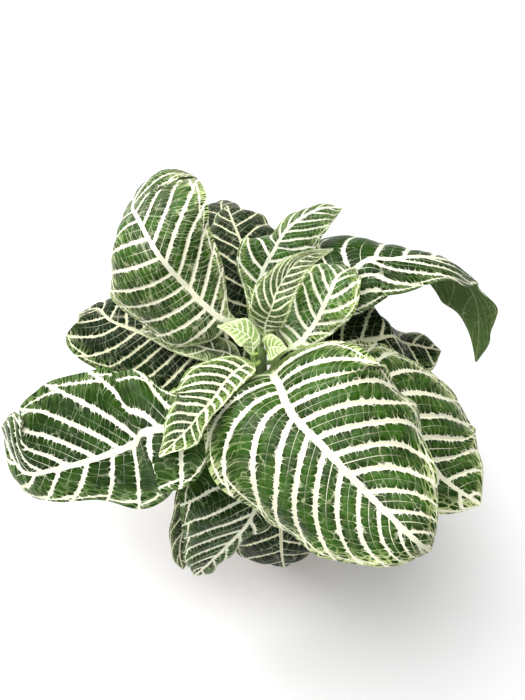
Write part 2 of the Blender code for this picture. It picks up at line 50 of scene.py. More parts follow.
GAP = 0.3
POT_HEIGHT = 125.0
SOIL_LEVEL = 114.0
STEM_TOP = 286.0
Socket = bpy.types.NodeSocket
Values = np.ndarray
RGB = tuple[float, float, float]


class Tone(Enum):
    """The age of a leaf, which settles its greens and how wide and white its bands are."""

    NEWEST = "newest"
    YOUNG = "young"
    BRIGHT = "bright"
    YOUNG_DARK = "young_dark"
    MATURE = "mature"
    MATURE_DARK = "mature_dark"
    OLD = "old"


class Face(Enum):
    """Which face of a leaf a material is for."""

    UPPER = "upper"
    UNDER = "under"


@dataclass(frozen=True)
class Half:
    """One half of a blade, beside the midrib.

    widths: half-widths at the width stations, in millimetres.
    rise: degrees that the half rises from the midrib, at its foot, middle and tip.
    curl: degrees that it bends on by its margin, at its foot, middle and tip.
    sweep: how strongly the side ribs lean to the tip.
    """

    widths: tuple[float, ...]
    rise: tuple[float, ...]
    curl: tuple[float, ...]
    sweep: float


@dataclass(frozen=True)
class LeafShape:
    """A leaf's sizes, as in the part's source.

    azimuth and height: the direction and the place on the stem that it leaves from. path: points on its
    midrib. foot: the share of its length that is stalk. stalk: the stalk's radius. ribs: side ribs on each
    half. crowd: how closely the first ribs stand, 1 for even gaps. wave: height, number and phase of the
    margin's waves. quilt: how far the blade swells between ribs. columns: steps across. bands: stripe width
    for the leaf's size.
    """

    azimuth: float
    height: float
    path: tuple[tuple[float, float, float], ...]
    foot: float
    stalk: float
    left: Half
    right: Half
    ribs: int
    crowd: float
    wave: tuple[float, float, float]
    quilt: float
    tone: Tone
    columns: int = 84
    bands: float = 1.0


LEAVES: dict[str, LeafShape] = {
    "leaf_newest_left": LeafShape(
        azimuth=180, height=284, path=((-10, 10, 292), (-22, 15, 298), (-37, 16, 301)),
        foot=0.06, stalk=1.1, ribs=9, crowd=1.0, wave=(0.8, 3, 0.3), quilt=0.4, tone=Tone.NEWEST,
        left=Half((8, 14, 13, 7, 2), (28, 22, 10), (-20, -20, -10), 0.6),
        right=Half((3, 9, 12, 6, 2), (25, 20, 10), (-20, -20, -10), 0.6), columns=40),
    "leaf_newest_right": LeafShape(
        azimuth=0, height=284, path=((5, 1, 291), (11, -1, 297), (20, -4, 299)),
        foot=0.06, stalk=1.1, ribs=8, crowd=1.0, wave=(0.8, 3, 0.1), quilt=0.4, tone=Tone.NEWEST,
        left=Half((3, 8, 11, 7, 2), (30, 22, 10), (-20, -20, -10), 0.6),
        right=Half((7, 11, 11, 7, 2), (25, 20, 10), (-20, -20, -10), 0.6), columns=40),
    "leaf_young_back": LeafShape(
        azimuth=62, height=277, path=((2, 24, 285), (8, 29, 312), (12, 39, 320), (29, 55, 339),
            (58, 71, 333)),
        foot=0.12, stalk=1.6, ribs=14, crowd=1.2, wave=(1.2, 4, 0.2), quilt=0.6, tone=Tone.YOUNG,
        left=Half((11, 21, 14, 5, 2), (29, 21, 20), (-26, -27, -11), 1.1),
        right=Half((15, 16, 15, 10, 3), (22, 27, 15), (-31, -19, -10), 0.7), columns=56),
    "leaf_young_front": LeafShape(
        azimuth=235, height=277, path=((-12, -10, 283), (-27, -26, 290), (-40, -52, 299), (-48, -66, 306),
            (-59, -72, 289), (-82, -87, 271)),
        foot=0.06, stalk=1.7, ribs=13, crowd=1.2, wave=(1.2, 4, 0.6), quilt=0.8, tone=Tone.YOUNG,
        left=Half((17, 12, 9, 14, 4), (50, 24, 12), (-21, -43, -17), 0.2),
        right=Half((16, 32, 33, 23, 7), (28, 14, 15), (-33, -49, -11), 0.9), columns=64),
    "leaf_bright_right": LeafShape(
        azimuth=15, height=266, path=((19, 3, 283), (32, 12, 282), (44, 29, 283), (55, 44, 301),
            (62, 58, 309), (80, 84, 288)),
        foot=0.2, stalk=2.1, ribs=8, crowd=1.2, wave=(1.6, 4, 0.0), quilt=1.6, tone=Tone.BRIGHT,
        left=Half((32, 41, 36, 30, 23), (15, 10, 10), (-43, -39, -14), 1.4),
        right=Half((9, 19, 26, 17, 6), (21, 9, 6), (-54, -40, -18), 0.9), columns=64),
    "leaf_back_left": LeafShape(
        azimuth=140, height=258, path=((-12, 31, 278), (-35, 31, 290), (-62, 46, 314), (-84, 59, 342),
            (-100, 87, 349), (-109, 119, 332), (-92, 152, 330), (-59, 167, 299)),
        foot=0.17, stalk=2.6, ribs=14, crowd=1.5, wave=(2.6, 4, 0.1), quilt=1.4, tone=Tone.MATURE,
        left=Half((58, 62, 40, 20, 14), (1, -10, -46), (-58, -65, -66), 0.3),
        right=Half((25, 47, 60, 36, 20), (12, 24, 44), (-19, -30, -67), 1.0), columns=100, bands=0.72),
    "leaf_front_right": LeafShape(
        azimuth=302, height=258, path=((8, -17, 278), (14, -33, 288), (24, -66, 302), (49, -96, 302),
            (78, -126, 294), (114, -160, 283), (128, -163, 266)),
        foot=0.07, stalk=2.7, ribs=12, crowd=1.25, wave=(2.2, 5, 0.4), quilt=1.6, tone=Tone.MATURE,
        left=Half((62, 91, 95, 57, 24), (48, 28, 13), (-42, -82, -6), 1.15),
        right=Half((67, 88, 86, 59, 19), (38, 4, -8), (-47, -90, -18), 1.35), columns=110),
    "leaf_back_upright": LeafShape(
        azimuth=85, height=254, path=((-5, 62, 280), (2, 79, 297), (10, 88, 308), (14, 103, 300),
            (26, 126, 293), (51, 143, 294), (72, 150, 287)),
        foot=0.25, stalk=2.2, ribs=10, crowd=1.3, wave=(2.2, 4, 0.5), quilt=1.2, tone=Tone.YOUNG_DARK,
        left=Half((14, 31, 12, 12, 8), (27, 0, -27), (-32, -67, -60), 0.7),
        right=Half((21, 42, 36, 25, 12), (13, 9, 7), (-35, -32, -17), 1.7), bands=0.95),
    "leaf_left": LeafShape(
        azimuth=212, height=244, path=((-21, -17, 264), (-45, -49, 263), (-75, -59, 265), (-97, -63, 265),
            (-104, -65, 251), (-131, -66, 227), (-179, -70, 205), (-210, -64, 186), (-240, -16, 175)),
        foot=0.2, stalk=2.8, ribs=9, crowd=1.12, wave=(2.2, 4, 0.7), quilt=1.6, tone=Tone.MATURE_DARK,
        left=Half((49, 54, 33, 22, 6), (13, 2, -1), (-23, -22, -22), 0.3),
        right=Half((34, 70, 75, 55, 41), (-13, 8, 26), (-29, -1, -14), 1.9), columns=104, bands=0.95),
    "leaf_arching_right": LeafShape(
        azimuth=40, height=241, path=((34, 62, 259), (68, 76, 275), (92, 93, 286), (114, 96, 283),
            (137, 101, 280), (168, 106, 266), (184, 116, 233), (202, 103, 209), (209, 87, 180),
            (210, 68, 149)),
        foot=0.08, stalk=2.6, ribs=12, crowd=1.2, wave=(3.4, 7, 0.2), quilt=1.4, tone=Tone.MATURE_DARK,
        left=Half((29, 63, 39, 36, 7), (31, -36, -75), (-16, -57, -6), 0.5),
        right=Half((14, 39, 27, 24, 11), (3, 27, 84), (-35, -30, -16), 1.3)),
    "leaf_back": LeafShape(
        azimuth=98, height=230, path=((-11, 60, 248), (-15, 88, 254), (-19, 132, 252), (-26, 160, 245),
            (-35, 199, 228)),
        foot=0.22, stalk=2.6, ribs=7, crowd=1.2, wave=(2.6, 4, 0.3), quilt=1.5, tone=Tone.OLD,
        left=Half((32, 40, 38, 28, 14), (14, 10, 0), (-30, -35, -30), 1.3),
        right=Half((30, 42, 44, 40, 26), (14, 8, 0), (-30, -40, -30), 1.0), columns=76),
    "leaf_low_left": LeafShape(
        azimuth=172, height=224, path=((-26, 12, 238), (-52, 18, 244), (-80, 32, 240), (-109, 52, 230),
            (-139, 68, 226), (-154, 88, 214), (-176, 94, 195)),
        foot=0.04, stalk=2.6, ribs=13, crowd=1.4, wave=(2.6, 4, 0.8), quilt=1.5, tone=Tone.OLD,
        left=Half((19, 53, 46, 45, 15), (10, -14, 23), (-39, -20, -7), 0.6),
        right=Half((40, 45, 45, 32, 14), (14, 7, 3), (-30, -39, -27), 0.5)),
    "leaf_right": LeafShape(
        azimuth=332, height=230, path=((35, -1, 251), (74, -21, 246), (112, -38, 245), (130, -57, 237),
            (151, -83, 219), (184, -103, 207)),
        foot=0.17, stalk=2.7, ribs=10, crowd=1.4, wave=(1.3, 4, 0.1), quilt=1.6, tone=Tone.MATURE,
        left=Half((57, 72, 71, 63, 36), (12, 5, 4), (-29, -45, -18), 1.0),
        right=Half((43, 48, 46, 38, 16), (10, 6, 0), (-26, -34, -20), 0.4), columns=96),
    "leaf_low_right": LeafShape(
        azimuth=10, height=214, path=((41, 36, 218), (75, 46, 222), (99, 47, 226), (116, 50, 228),
            (133, 63, 194), (172, 68, 171)),
        foot=0.08, stalk=2.6, ribs=11, crowd=1.4, wave=(2.4, 4, 0.5), quilt=1.5, tone=Tone.OLD,
        left=Half((39, 61, 44, 23, 19), (15, 7, 3), (-30, -38, -22), 0.5),
        right=Half((33, 38, 42, 35, 23), (9, 2, 2), (-30, -39, -28), 0.3), columns=76),
    "leaf_low_back": LeafShape(
        azimuth=112, height=212, path=((-17, 88, 224), (-30, 143, 227), (-38, 186, 220), (-42, 222, 201),
            (-41, 244, 182)),
        foot=0.14, stalk=2.4, ribs=6, crowd=1.25, wave=(2.2, 4, 0.0), quilt=1.4, tone=Tone.OLD,
        left=Half((26, 36, 36, 32, 20), (12, 8, 0), (-30, -40, -30), 0.7),
        right=Half((26, 34, 34, 28, 16), (12, 8, 0), (-30, -40, -30), 0.7), columns=60),
    "leaf_low_front": LeafShape(
        azimuth=262, height=200, path=((9, -54, 221), (10, -74, 205), (-2, -89, 190), (-12, -106, 175),
            (-26, -114, 152), (-44, -123, 126), (-63, -130, 96)),
        foot=0.2, stalk=2.6, ribs=9, crowd=1.3, wave=(2.0, 4, 0.3), quilt=1.6, tone=Tone.MATURE_DARK,
        left=Half((29, 34, 17, 11, 13), (15, 6, -2), (-30, -38, -21), 0.4),
        right=Half((47, 76, 60, 36, 17), (12, 13, -4), (-31, -14, -11), 1.8), bands=0.7),
    "leaf_low_front_right": LeafShape(
        azimuth=284, height=174, path=((9, -44, 184), (14, -76, 175), (16, -101, 158), (17, -114, 130),
            (19, -117, 98), (21, -116, 77)),
        foot=0.2, stalk=2.4, ribs=6, crowd=1.25, wave=(2.4, 4, 0.6), quilt=1.5, tone=Tone.OLD,
        left=Half((30, 46, 50, 42, 20), (14, 8, 0), (-30, -44, -30), 0.7),
        right=Half((30, 46, 52, 44, 20), (14, 8, 0), (-30, -44, -30), 0.7), columns=72),
    "leaf_edge_on": LeafShape(
        azimuth=236, height=184, path=((-25, -18, 188), (-44, -43, 175), (-60, -71, 155), (-72, -92, 127),
            (-78, -107, 98), (-76, -117, 73)),
        foot=0.2, stalk=2.4, ribs=6, crowd=1.25, wave=(2.2, 4, 0.2), quilt=1.3, tone=Tone.OLD,
        left=Half((18, 26, 28, 22, 10), (-30, -60, -60), (-30, -30, -20), 0.7),
        right=Half((16, 18, 14, 10, 5), (30, 45, 40), (-30, -30, -20), 0.7), columns=56),
    "leaf_small_left": LeafShape(
        azimuth=158, height=240, path=((-30, 20, 249), (-45, 19, 258), (-67, 25, 260), (-89, 37, 254),
            (-109, 48, 242)),
        foot=0.14, stalk=2.0, ribs=5, crowd=1.25, wave=(1.4, 4, 0.4), quilt=0.9, tone=Tone.MATURE,
        left=Half((9, 12, 12, 9, 4), (20, 15, 5), (-30, -30, -20), 0.7),
        right=Half((9, 16, 19, 14, 6), (20, 15, 5), (-30, -30, -20), 0.7), columns=40),
    "leaf_curled_small": LeafShape(
        azimuth=112, height=266, path=((-3, 35, 276), (-6, 45, 282), (-10, 55, 287), (-15, 66, 288)),
        foot=0.2, stalk=1.6, ribs=4, crowd=1.25, wave=(0.8, 3, 0.2), quilt=0.5, tone=Tone.YOUNG,
        left=Half((6, 9, 9, 6, 3), (55, 60, 50), (-40, -50, -30), 0.7),
        right=Half((5, 8, 8, 6, 3), (55, 60, 50), (-40, -50, -30), 0.7), columns=36),
}


@dataclass(frozen=True)
class LeafFinish:
    """The colours and gloss of leaves of one age.

    blade and deep: the lamina's two greens; deep lies in random patches and, as painted crease shade, beside
    the stripes. band: the stripes on the ribs. net: the fine network by the margin. under and under_rib: the
    lower face and its ribs. rough: roughness of the lamina. gloss: how much light it throws back. rib_band
    and midrib_band: half-widths of the stripes in millimetres on a leaf of the largest size. between: the
    short stripe between two ribs. threads: how strong cross veins are.
    """

    blade: RGB
    deep: RGB
    band: RGB
    net: RGB
    under: RGB
    under_rib: RGB
    rough: float
    gloss: float
    rib_band: float
    midrib_band: float
    between: float
    threads: float
    stalk: RGB = (0.30, 0.42, 0.13)


FINISHES: dict[Tone, LeafFinish] = {
    Tone.NEWEST: LeafFinish(
        blade=(0.20, 0.38, 0.020), deep=(0.11, 0.26, 0.010), band=(0.91, 0.94, 0.66), net=(0.74, 0.84, 0.40),
        under=(0.24, 0.40, 0.07), under_rib=(0.54, 0.66, 0.30), stalk=(0.36, 0.50, 0.11),
        rough=0.38, gloss=0.24, rib_band=2.9, midrib_band=3.8, between=0.0, threads=0.7),
    Tone.YOUNG: LeafFinish(
        blade=(0.026, 0.088, 0.002), deep=(0.005, 0.024, 0.001), band=(0.87, 0.90, 0.62),
        net=(0.32, 0.46, 0.10), under=(0.10, 0.22, 0.025), under_rib=(0.42, 0.54, 0.20),
        stalk=(0.31, 0.43, 0.12),
        rough=0.34, gloss=0.13, rib_band=2.5, midrib_band=3.4, between=0.0, threads=0.2),
    Tone.BRIGHT: LeafFinish(
        blade=(0.040, 0.140, 0.0025), deep=(0.007, 0.036, 0.001), band=(0.86, 0.88, 0.66),
        net=(0.42, 0.56, 0.14), under=(0.08, 0.18, 0.02), under_rib=(0.42, 0.54, 0.20),
        rough=0.22, gloss=0.24, rib_band=2.1, midrib_band=4.6, between=0.5, threads=0.35),
    Tone.YOUNG_DARK: LeafFinish(
        blade=(0.030, 0.108, 0.003), deep=(0.006, 0.028, 0.001), band=(0.86, 0.88, 0.70),
        net=(0.38, 0.50, 0.16), under=(0.085, 0.165, 0.035), under_rib=(0.40, 0.50, 0.22),
        rough=0.28, gloss=0.15, rib_band=1.9, midrib_band=3.4, between=0.4, threads=0.25),
    Tone.MATURE: LeafFinish(
        blade=(0.027, 0.092, 0.003), deep=(0.0035, 0.016, 0.0008), band=(0.88, 0.87, 0.66),
        net=(0.60, 0.68, 0.30), under=(0.085, 0.165, 0.035), under_rib=(0.38, 0.48, 0.22),
        rough=0.29, gloss=0.15, rib_band=1.95, midrib_band=3.8, between=0.5, threads=0.45),
    Tone.MATURE_DARK: LeafFinish(
        blade=(0.019, 0.058, 0.004), deep=(0.0035, 0.013, 0.001), band=(0.88, 0.89, 0.68),
        net=(0.13, 0.21, 0.06), under=(0.085, 0.165, 0.035), under_rib=(0.36, 0.46, 0.20),
        rough=0.28, gloss=0.10, rib_band=1.8, midrib_band=3.2, between=0.6, threads=0.45),
    Tone.OLD: LeafFinish(
        blade=(0.0048, 0.018, 0.0034), deep=(0.0014, 0.005, 0.0012), band=(0.78, 0.78, 0.53),
        net=(0.16, 0.24, 0.07), under=(0.045, 0.105, 0.02), under_rib=(0.25, 0.35, 0.13),
        stalk=(0.18, 0.27, 0.08),
        rough=0.30, gloss=0.05, rib_band=1.4, midrib_band=2.9, between=0.4, threads=0.12),
}


class Number:
    """A number in a node tree, on which arithmetic adds Math nodes."""

    def __init__(self, graph: "Graph", socket: Socket) -> None:
        """Wraps a socket."""
        self.graph, self.socket = graph, socket

    def __add__(self, other: object) -> "Number":
        """The sum."""
        return self.graph.math("ADD", self, other)

    def __sub__(self, other: object) -> "Number":
        """The difference."""
        return self.graph.math("SUBTRACT", self, other)

    def __rsub__(self, other: object) -> "Number":
        """The difference from a plain number."""
        return self.graph.math("SUBTRACT", other, self)

    def __mul__(self, other: object) -> "Number":
        """The product."""
        return self.graph.math("MULTIPLY", self, other)

    def __truediv__(self, other: object) -> "Number":
        """The quotient."""
        return self.graph.math("DIVIDE", self, other)

    def __pow__(self, other: object) -> "Number":
        """The power."""
        return self.graph.math("POWER", self, other)

    def __abs__(self) -> "Number":
        """The size."""
        return self.graph.math("ABSOLUTE", self)

    def step(self, low: float, high: float, start: object = 0.0, end: object = 1.0) -> "Number":
        """A smooth step from start to end as the number goes from low to high.

        Args:
            low: where the step starts.
            high: where it ends.
            start: its value there.
            end: its value at the end.

        Returns:
            The step.
        """
        made = self.graph.node("ShaderNodeMapRange", interpolation_type="SMOOTHSTEP")
        ends = (("From Min", low), ("From Max", high), ("To Min", start), ("To Max", end))
        for name, item in (("Value", self), *ends):
            self.graph.feed(made.inputs[name], item)
        return Number(self.graph, made.outputs["Result"])


class Graph:
    """A node tree with short calls for the nodes that these materials and shapes use."""

    def __init__(self, tree: bpy.types.NodeTree) -> None:
        """Wraps a tree."""
        self.tree = tree

    def node(self, kind: str, **settings: object) -> bpy.types.Node:
        """A new node with its settings.

        Args:
            kind: the node's type.
            settings: its properties.

        Returns:
            The node.
        """
        made = self.tree.nodes.new(kind)
        for key, value in settings.items():
            setattr(made, key, value)
        return made

    def feed(self, socket: Socket, value: object) -> None:
        """Links a socket into another, or sets its value.

        Args:
            socket: what is fed.
            value: a number, a socket or a plain value.
        """
        value = value.socket if isinstance(value, Number) else value
        if isinstance(value, bpy.types.NodeSocket):
            self.tree.links.new(value, socket)
        elif isinstance(value, tuple) and socket.type == "RGBA" and len(value) == 3:
            socket.default_value = (*value, 1.0)
        else:
            socket.default_value = value

    def math(self, operation: str, *values: object, clamp: bool = False) -> Number:
        """A Math node's result.

        Args:
            operation: what it does.
            values: what it works on.
            clamp: whether the result stays between 0 and 1.

        Returns:
            The result.
        """
        made = self.node("ShaderNodeMath", operation=operation, use_clamp=clamp)
        for socket, value in zip(made.inputs, values):
            self.feed(socket, value)
        return Number(self, made.outputs[0])

    def mix(self, share: object, a: object, b: object) -> Socket:
        """A mix of two colours.

        Args:
            share: how much of the second colour.
            a: the first colour.
            b: the second colour.

        Returns:
            The mixed colour.
        """
        made = self.node("ShaderNodeMix", data_type="RGBA")
        for slot, value in ((0, share), (6, a), (7, b)):
            self.feed(made.inputs[slot], value)
        return made.outputs[2]

    def attribute(self, name: str) -> Number:
        """A number carried by the mesh's points, in a material."""
        return Number(self, self.node("ShaderNodeAttribute", attribute_name=name).outputs["Fac"])

    def vector(self, x: object, y: object, z: object) -> Socket:
        """A vector of three numbers.

        Args:
            x: its first number.
            y: its second.
            z: its third.

        Returns:
            The vector.
        """
        made = self.node("ShaderNodeCombineXYZ")
        for socket, value in zip(made.inputs, (x, y, z)):
            self.feed(socket, value)
        return made.outputs[0]

    def noise(self, vector: Socket, scale: object, detail: float = 3.0, rough: float = 0.55) -> Number:
        """Noise from 0 to 1.

        Args:
            vector: where it is read.
            scale: how fine it is.
            detail: how many finer layers it has.
            rough: how strong they are.

        Returns:
            The noise.
        """
        made = self.node("ShaderNodeTexNoise")
        for name, item in (("Vector", vector), ("Scale", scale), ("Detail", detail), ("Roughness", rough)):
            self.feed(made.inputs[name], item)
        return Number(self, made.outputs["Fac"])

    def cells(self, vector: Socket, scale: float, feature: str = "DISTANCE_TO_EDGE",
              random: float = 0.85) -> Number:
        """The distance into each cell of a Voronoi pattern.

        Args:
            vector: where it is read.
            scale: how small the cells are.
            feature: which distance.
            random: how uneven the cells are.

        Returns:
            The distance.
        """
        made = self.node("ShaderNodeTexVoronoi", feature=feature)
        for name, item in (("Vector", vector), ("Scale", scale), ("Randomness", random)):
            self.feed(made.inputs[name], item)
        return Number(self, made.outputs["Distance"])

    def place(self) -> Socket:
        """Where a point is on the object."""
        return self.node("ShaderNodeTexCoord").outputs["Object"]

    def height(self) -> Number:
        """How high a point is on the object.

        Returns:
            The height in metres.
        """
        parts = self.node("ShaderNodeSeparateXYZ")
        self.feed(parts.inputs[0], self.place())
        return Number(self, parts.outputs["Z"])

    def bump(self, height: Number, distance: float, strength: float) -> Socket:
        """A Bump node's normal.

        Args:
            height: how far the surface stands out.
            distance: what a height of 1 is, in metres.
            strength: how strongly it shows.

        Returns:
            The normal.
        """
        made = self.node("ShaderNodeBump")
        for name, item in (("Distance", distance), ("Strength", strength), ("Height", height)):
            self.feed(made.inputs[name], item)
        return made.outputs["Normal"]

    def scaled(self, vector: Socket, scale: Number) -> Socket:
        """A vector times a number.

        Args:
            vector: the vector.
            scale: the number.

        Returns:
            The product.
        """
        made = self.node("ShaderNodeVectorMath", operation="SCALE")
        self.feed(made.inputs[0], vector)
        self.feed(made.inputs["Scale"], scale)
        return made.outputs[0]


class ShaderGroup:
    """A shader node group with named numbers in and out."""

    def __init__(self, name: str, inputs: dict[str, float], outputs: tuple[str, ...]) -> None:
        """Makes the empty group.

        Args:
            name: what it is called.
            inputs: its inputs and their starting values.
            outputs: its outputs.
        """
        self.tree = bpy.data.node_groups.new(name, "ShaderNodeTree")
        face = self.tree.interface
        for key, value in inputs.items():
            face.new_socket(key, in_out="INPUT", socket_type="NodeSocketFloat").default_value = value
        for key in outputs:
            face.new_socket(key, in_out="OUTPUT", socket_type="NodeSocketFloat")
        self.graph = Graph(self.tree)
        start = self.graph.node("NodeGroupInput")
        self.given = {key: Number(self.graph, start.outputs[key]) for key in inputs}
        self.end = self.graph.node("NodeGroupOutput")

    def give(self, results: dict[str, Number]) -> None:
        """Feeds the group's outputs."""
        for key, value in results.items():
            self.graph.feed(self.end.inputs[key], value)

    def put(self, graph: Graph, values: dict[str, float]) -> dict[str, Number]:
        """Puts the group into a material.

        Args:
            graph: the material's graph.
            values: what its inputs are there.

        Returns:
            Its outputs by name.
        """
        node = graph.node("ShaderNodeGroup")
        node.node_tree = self.tree
        for key, value in values.items():
            node.inputs[key].default_value = value
        return {socket.name: Number(graph, socket) for socket in node.outputs}


class ShapeTree:
    """A Geometry Nodes tree with named inputs, which a modifier sets by their sockets."""

    def __init__(self, name: str, inputs: dict[str, tuple[str, object]]) -> None:
        """Makes the empty tree.

        Args:
            name: what it is called.
            inputs: the kind and the starting value of each input.
        """
        self.tree = bpy.data.node_groups.new(name, "GeometryNodeTree")
        face = self.tree.interface
        face.new_socket("Geometry", in_out="INPUT", socket_type="NodeSocketGeometry")
        self.sockets = {}
        for key, (kind, value) in inputs.items():
            made = face.new_socket(key, in_out="INPUT", socket_type=f"NodeSocket{kind}")
            if value is not None:
                made.default_value = value
            self.sockets[key] = made.identifier
        face.new_socket("Geometry", in_out="OUTPUT", socket_type="NodeSocketGeometry")
        self.graph = Graph(self.tree)
        self.start, self.end = self.graph.node("NodeGroupInput"), self.graph.node("NodeGroupOutput")

    def chain(self, kind: str, shape: Socket, **values: object) -> Socket:
        """Adds a node that takes a shape and gives one, with values for its other inputs.

        Args:
            kind: the node's type.
            shape: the shape that it takes.
            values: what its other inputs are.

        Returns:
            The shape that it gives.
        """
        made = self.graph.node(kind)
        self.graph.feed(made.inputs["Geometry"], shape)
        for key, value in values.items():
            self.graph.feed(made.inputs[key], value)
        return made.outputs["Geometry"]

    def shape(self, thing: bpy.types.Object, name: str, values: dict[str, object]) -> bpy.types.Object:
        """Shapes an object by the tree.

        Args:
            thing: the object, which goes.
            name: the finished piece's name.
            values: what the tree's inputs are for it.

        Returns:
            The plain mesh object that takes its place.
        """
        modifier = thing.modifiers.new(self.tree.name, "NODES")
        modifier.node_group = self.tree
        for key, value in values.items():
            modifier[self.sockets[key]] = value
        return applied(thing, name)


def applied(thing: bpy.types.Object, name: str) -> bpy.types.Object:
    """A plain mesh object from an object's modifiers, which it replaces.

    Args:
        thing: the object, which goes.
        name: the new object's name.

    Returns:
        The new object.
    """
    bpy.context.view_layer.update()
    graph = bpy.context.evaluated_depsgraph_get()
    mesh = bpy.data.meshes.new_from_object(thing.evaluated_get(graph), depsgraph=graph)
    thing.modifiers.clear()
    bpy.data.objects.remove(thing, do_unlink=True)
    mesh.name = name
    return linked(name, mesh)


def linked(name: str, data: object) -> bpy.types.Object:
    """A new object in the scene.

    Args:
        name: what it is called.
        data: its mesh, light or camera.

    Returns:
        The object.
    """
    made = bpy.data.objects.new(name, data)
    bpy.context.scene.collection.objects.link(made)
    return made


def new_material(name: str) -> tuple[bpy.types.Material, Graph, bpy.types.Node]:
    """An empty material.

    Args:
        name: what it is called.

    Returns:
        The material, its graph and its Principled shader.
    """
    made = bpy.data.materials.new(name)
    made.use_nodes = True
    graph = Graph(made.node_tree)
    return made, graph, made.node_tree.nodes["Principled BSDF"]


WIDTH_STATIONS = (0.0, 0.12, 0.32, 0.54, 0.76, 0.93, 1.0)
TURN_STATIONS = (0.0, 0.5, 1.0)
TIP_HALF = 0.9
TIP_SPREAD = 0.06
LEAST_BEND = 1e-4
RIGHT_STAGGER = 0.36
FOOT_FADE = 0.15
TIP_FADE = 0.12


def monotone(xs: tuple[float, ...], ys: tuple[float, ...], x: Values) -> Values:
    """A smooth curve through stations that never overshoots them.

    Args:
        xs: where the stations are, rising.
        ys: the value at each.
        x: where to read the curve.

    Returns:
        The curve's values at x.
    """
    xs, ys = np.asarray(xs, float), np.asarray(ys, float)
    h = np.diff(xs)
    d = np.diff(ys) / h
    m = np.zeros_like(ys)
    for i in range(1, len(xs) - 1):
        if d[i - 1] * d[i] > 0:
            a, b = 2 * h[i] + h[i - 1], h[i] + 2 * h[i - 1]
            m[i] = (a + b) / (a / d[i - 1] + b / d[i])
    m[0], m[-1] = d[0], d[-1]
    k = np.clip(np.searchsorted(xs, x, side="right") - 1, 0, len(h) - 1)
    u = (x - xs[k]) / h[k]
    return ((1 + 2 * u) * (1 - u) ** 2 * ys[k] + u * (1 - u) ** 2 * h[k] * m[k]
            + u * u * (3 - 2 * u) * ys[k + 1] + u * u * (u - 1) * h[k] * m[k + 1])


def flowing_line(points: list[Values], per: int = 24) -> Values:
    """A centripetal Catmull-Rom line.

    Args:
        points: what it passes through.
        per: samples between one point and the next.

    Returns:
        The sampled line.
    """
    p = np.asarray(points, float)
    p = np.vstack([2 * p[0] - p[1], p, 2 * p[-1] - p[-2]])
    out = []
    for i in range(1, len(p) - 2):
        t = [0.0]
        for a in (i - 1, i, i + 1):
            t.append(t[-1] + math.sqrt(np.linalg.norm(p[a + 1] - p[a])) + 1e-9)
        u = np.linspace(t[1], t[2], per, endpoint=False)[:, None]
        a1, a2, a3 = ((t[k + 1] - u) / (t[k + 1] - t[k]) * p[i - 1 + k]
                      + (u - t[k]) / (t[k + 1] - t[k]) * p[i + k] for k in range(3))
        b1 = (t[2] - u) / (t[2] - t[0]) * a1 + (u - t[0]) / (t[2] - t[0]) * a2
        b2 = (t[3] - u) / (t[3] - t[1]) * a2 + (u - t[1]) / (t[3] - t[1]) * a3
        out.append((t[2] - u) / (t[2] - t[1]) * b1 + (u - t[1]) / (t[2] - t[1]) * b2)
    return np.vstack([*out, p[-2][None]])


@dataclass(frozen=True)
class VeinPlan:
    """Where the veins of a leaf lie, the same in its shape and in its colours.

    from_start: added to the rib count, so that its fraction is that of a positive number. cross_pitch: gap
    between cross veins in millimetres on a leaf of band scale 1. slow: how fine the unevenness of the cross
    veins is. drift: how far it moves them, in pitches.
    """

    from_start: float = 100.0
    cross_pitch: float = 5.6
    slow: float = 230.0
    drift: float = 0.55

    def share(self, g: Graph, rib: Number) -> Number:
        """How far a point is from one side rib to the next, 0 to 1."""
        return g.math("FRACT", rib + self.from_start)

    def wobble(self, g: Graph, place: Socket) -> Number:
        """The slow unevenness, 0 to 1."""
        return g.noise(place, self.slow, 2.0)

    def moved(self, wobble: Number) -> Number:
        """How far the unevenness moves a cross vein."""
        return (wobble - 0.5) * self.drift

    def run(self, g: Graph, run: Number, rib: Number, slant: Number) -> Number:
        """The distance along the ribs that stays the same on lines square to them, in millimetres."""
        return run + slant * (self.share(g, rib) - 0.5)

    def cross(self, g: Graph, run: Number, rib: Number, size: Number, drift: Number) -> Number:
        """The distance in millimetres to the nearest cross vein.

        Args:
            g: the graph of a shape or of a shader.
            run: the distance along a side rib, square to it, in millimetres.
            rib: the rib count.
            size: the leaf's band scale.
            drift: how far the slow unevenness moves the vein.

        Returns:
            The distance.
        """
        pitch = size * self.cross_pitch
        return g.cells(g.vector(run / pitch + drift, rib + drift, size * 37.0), 1.0) * (pitch * 0.75)


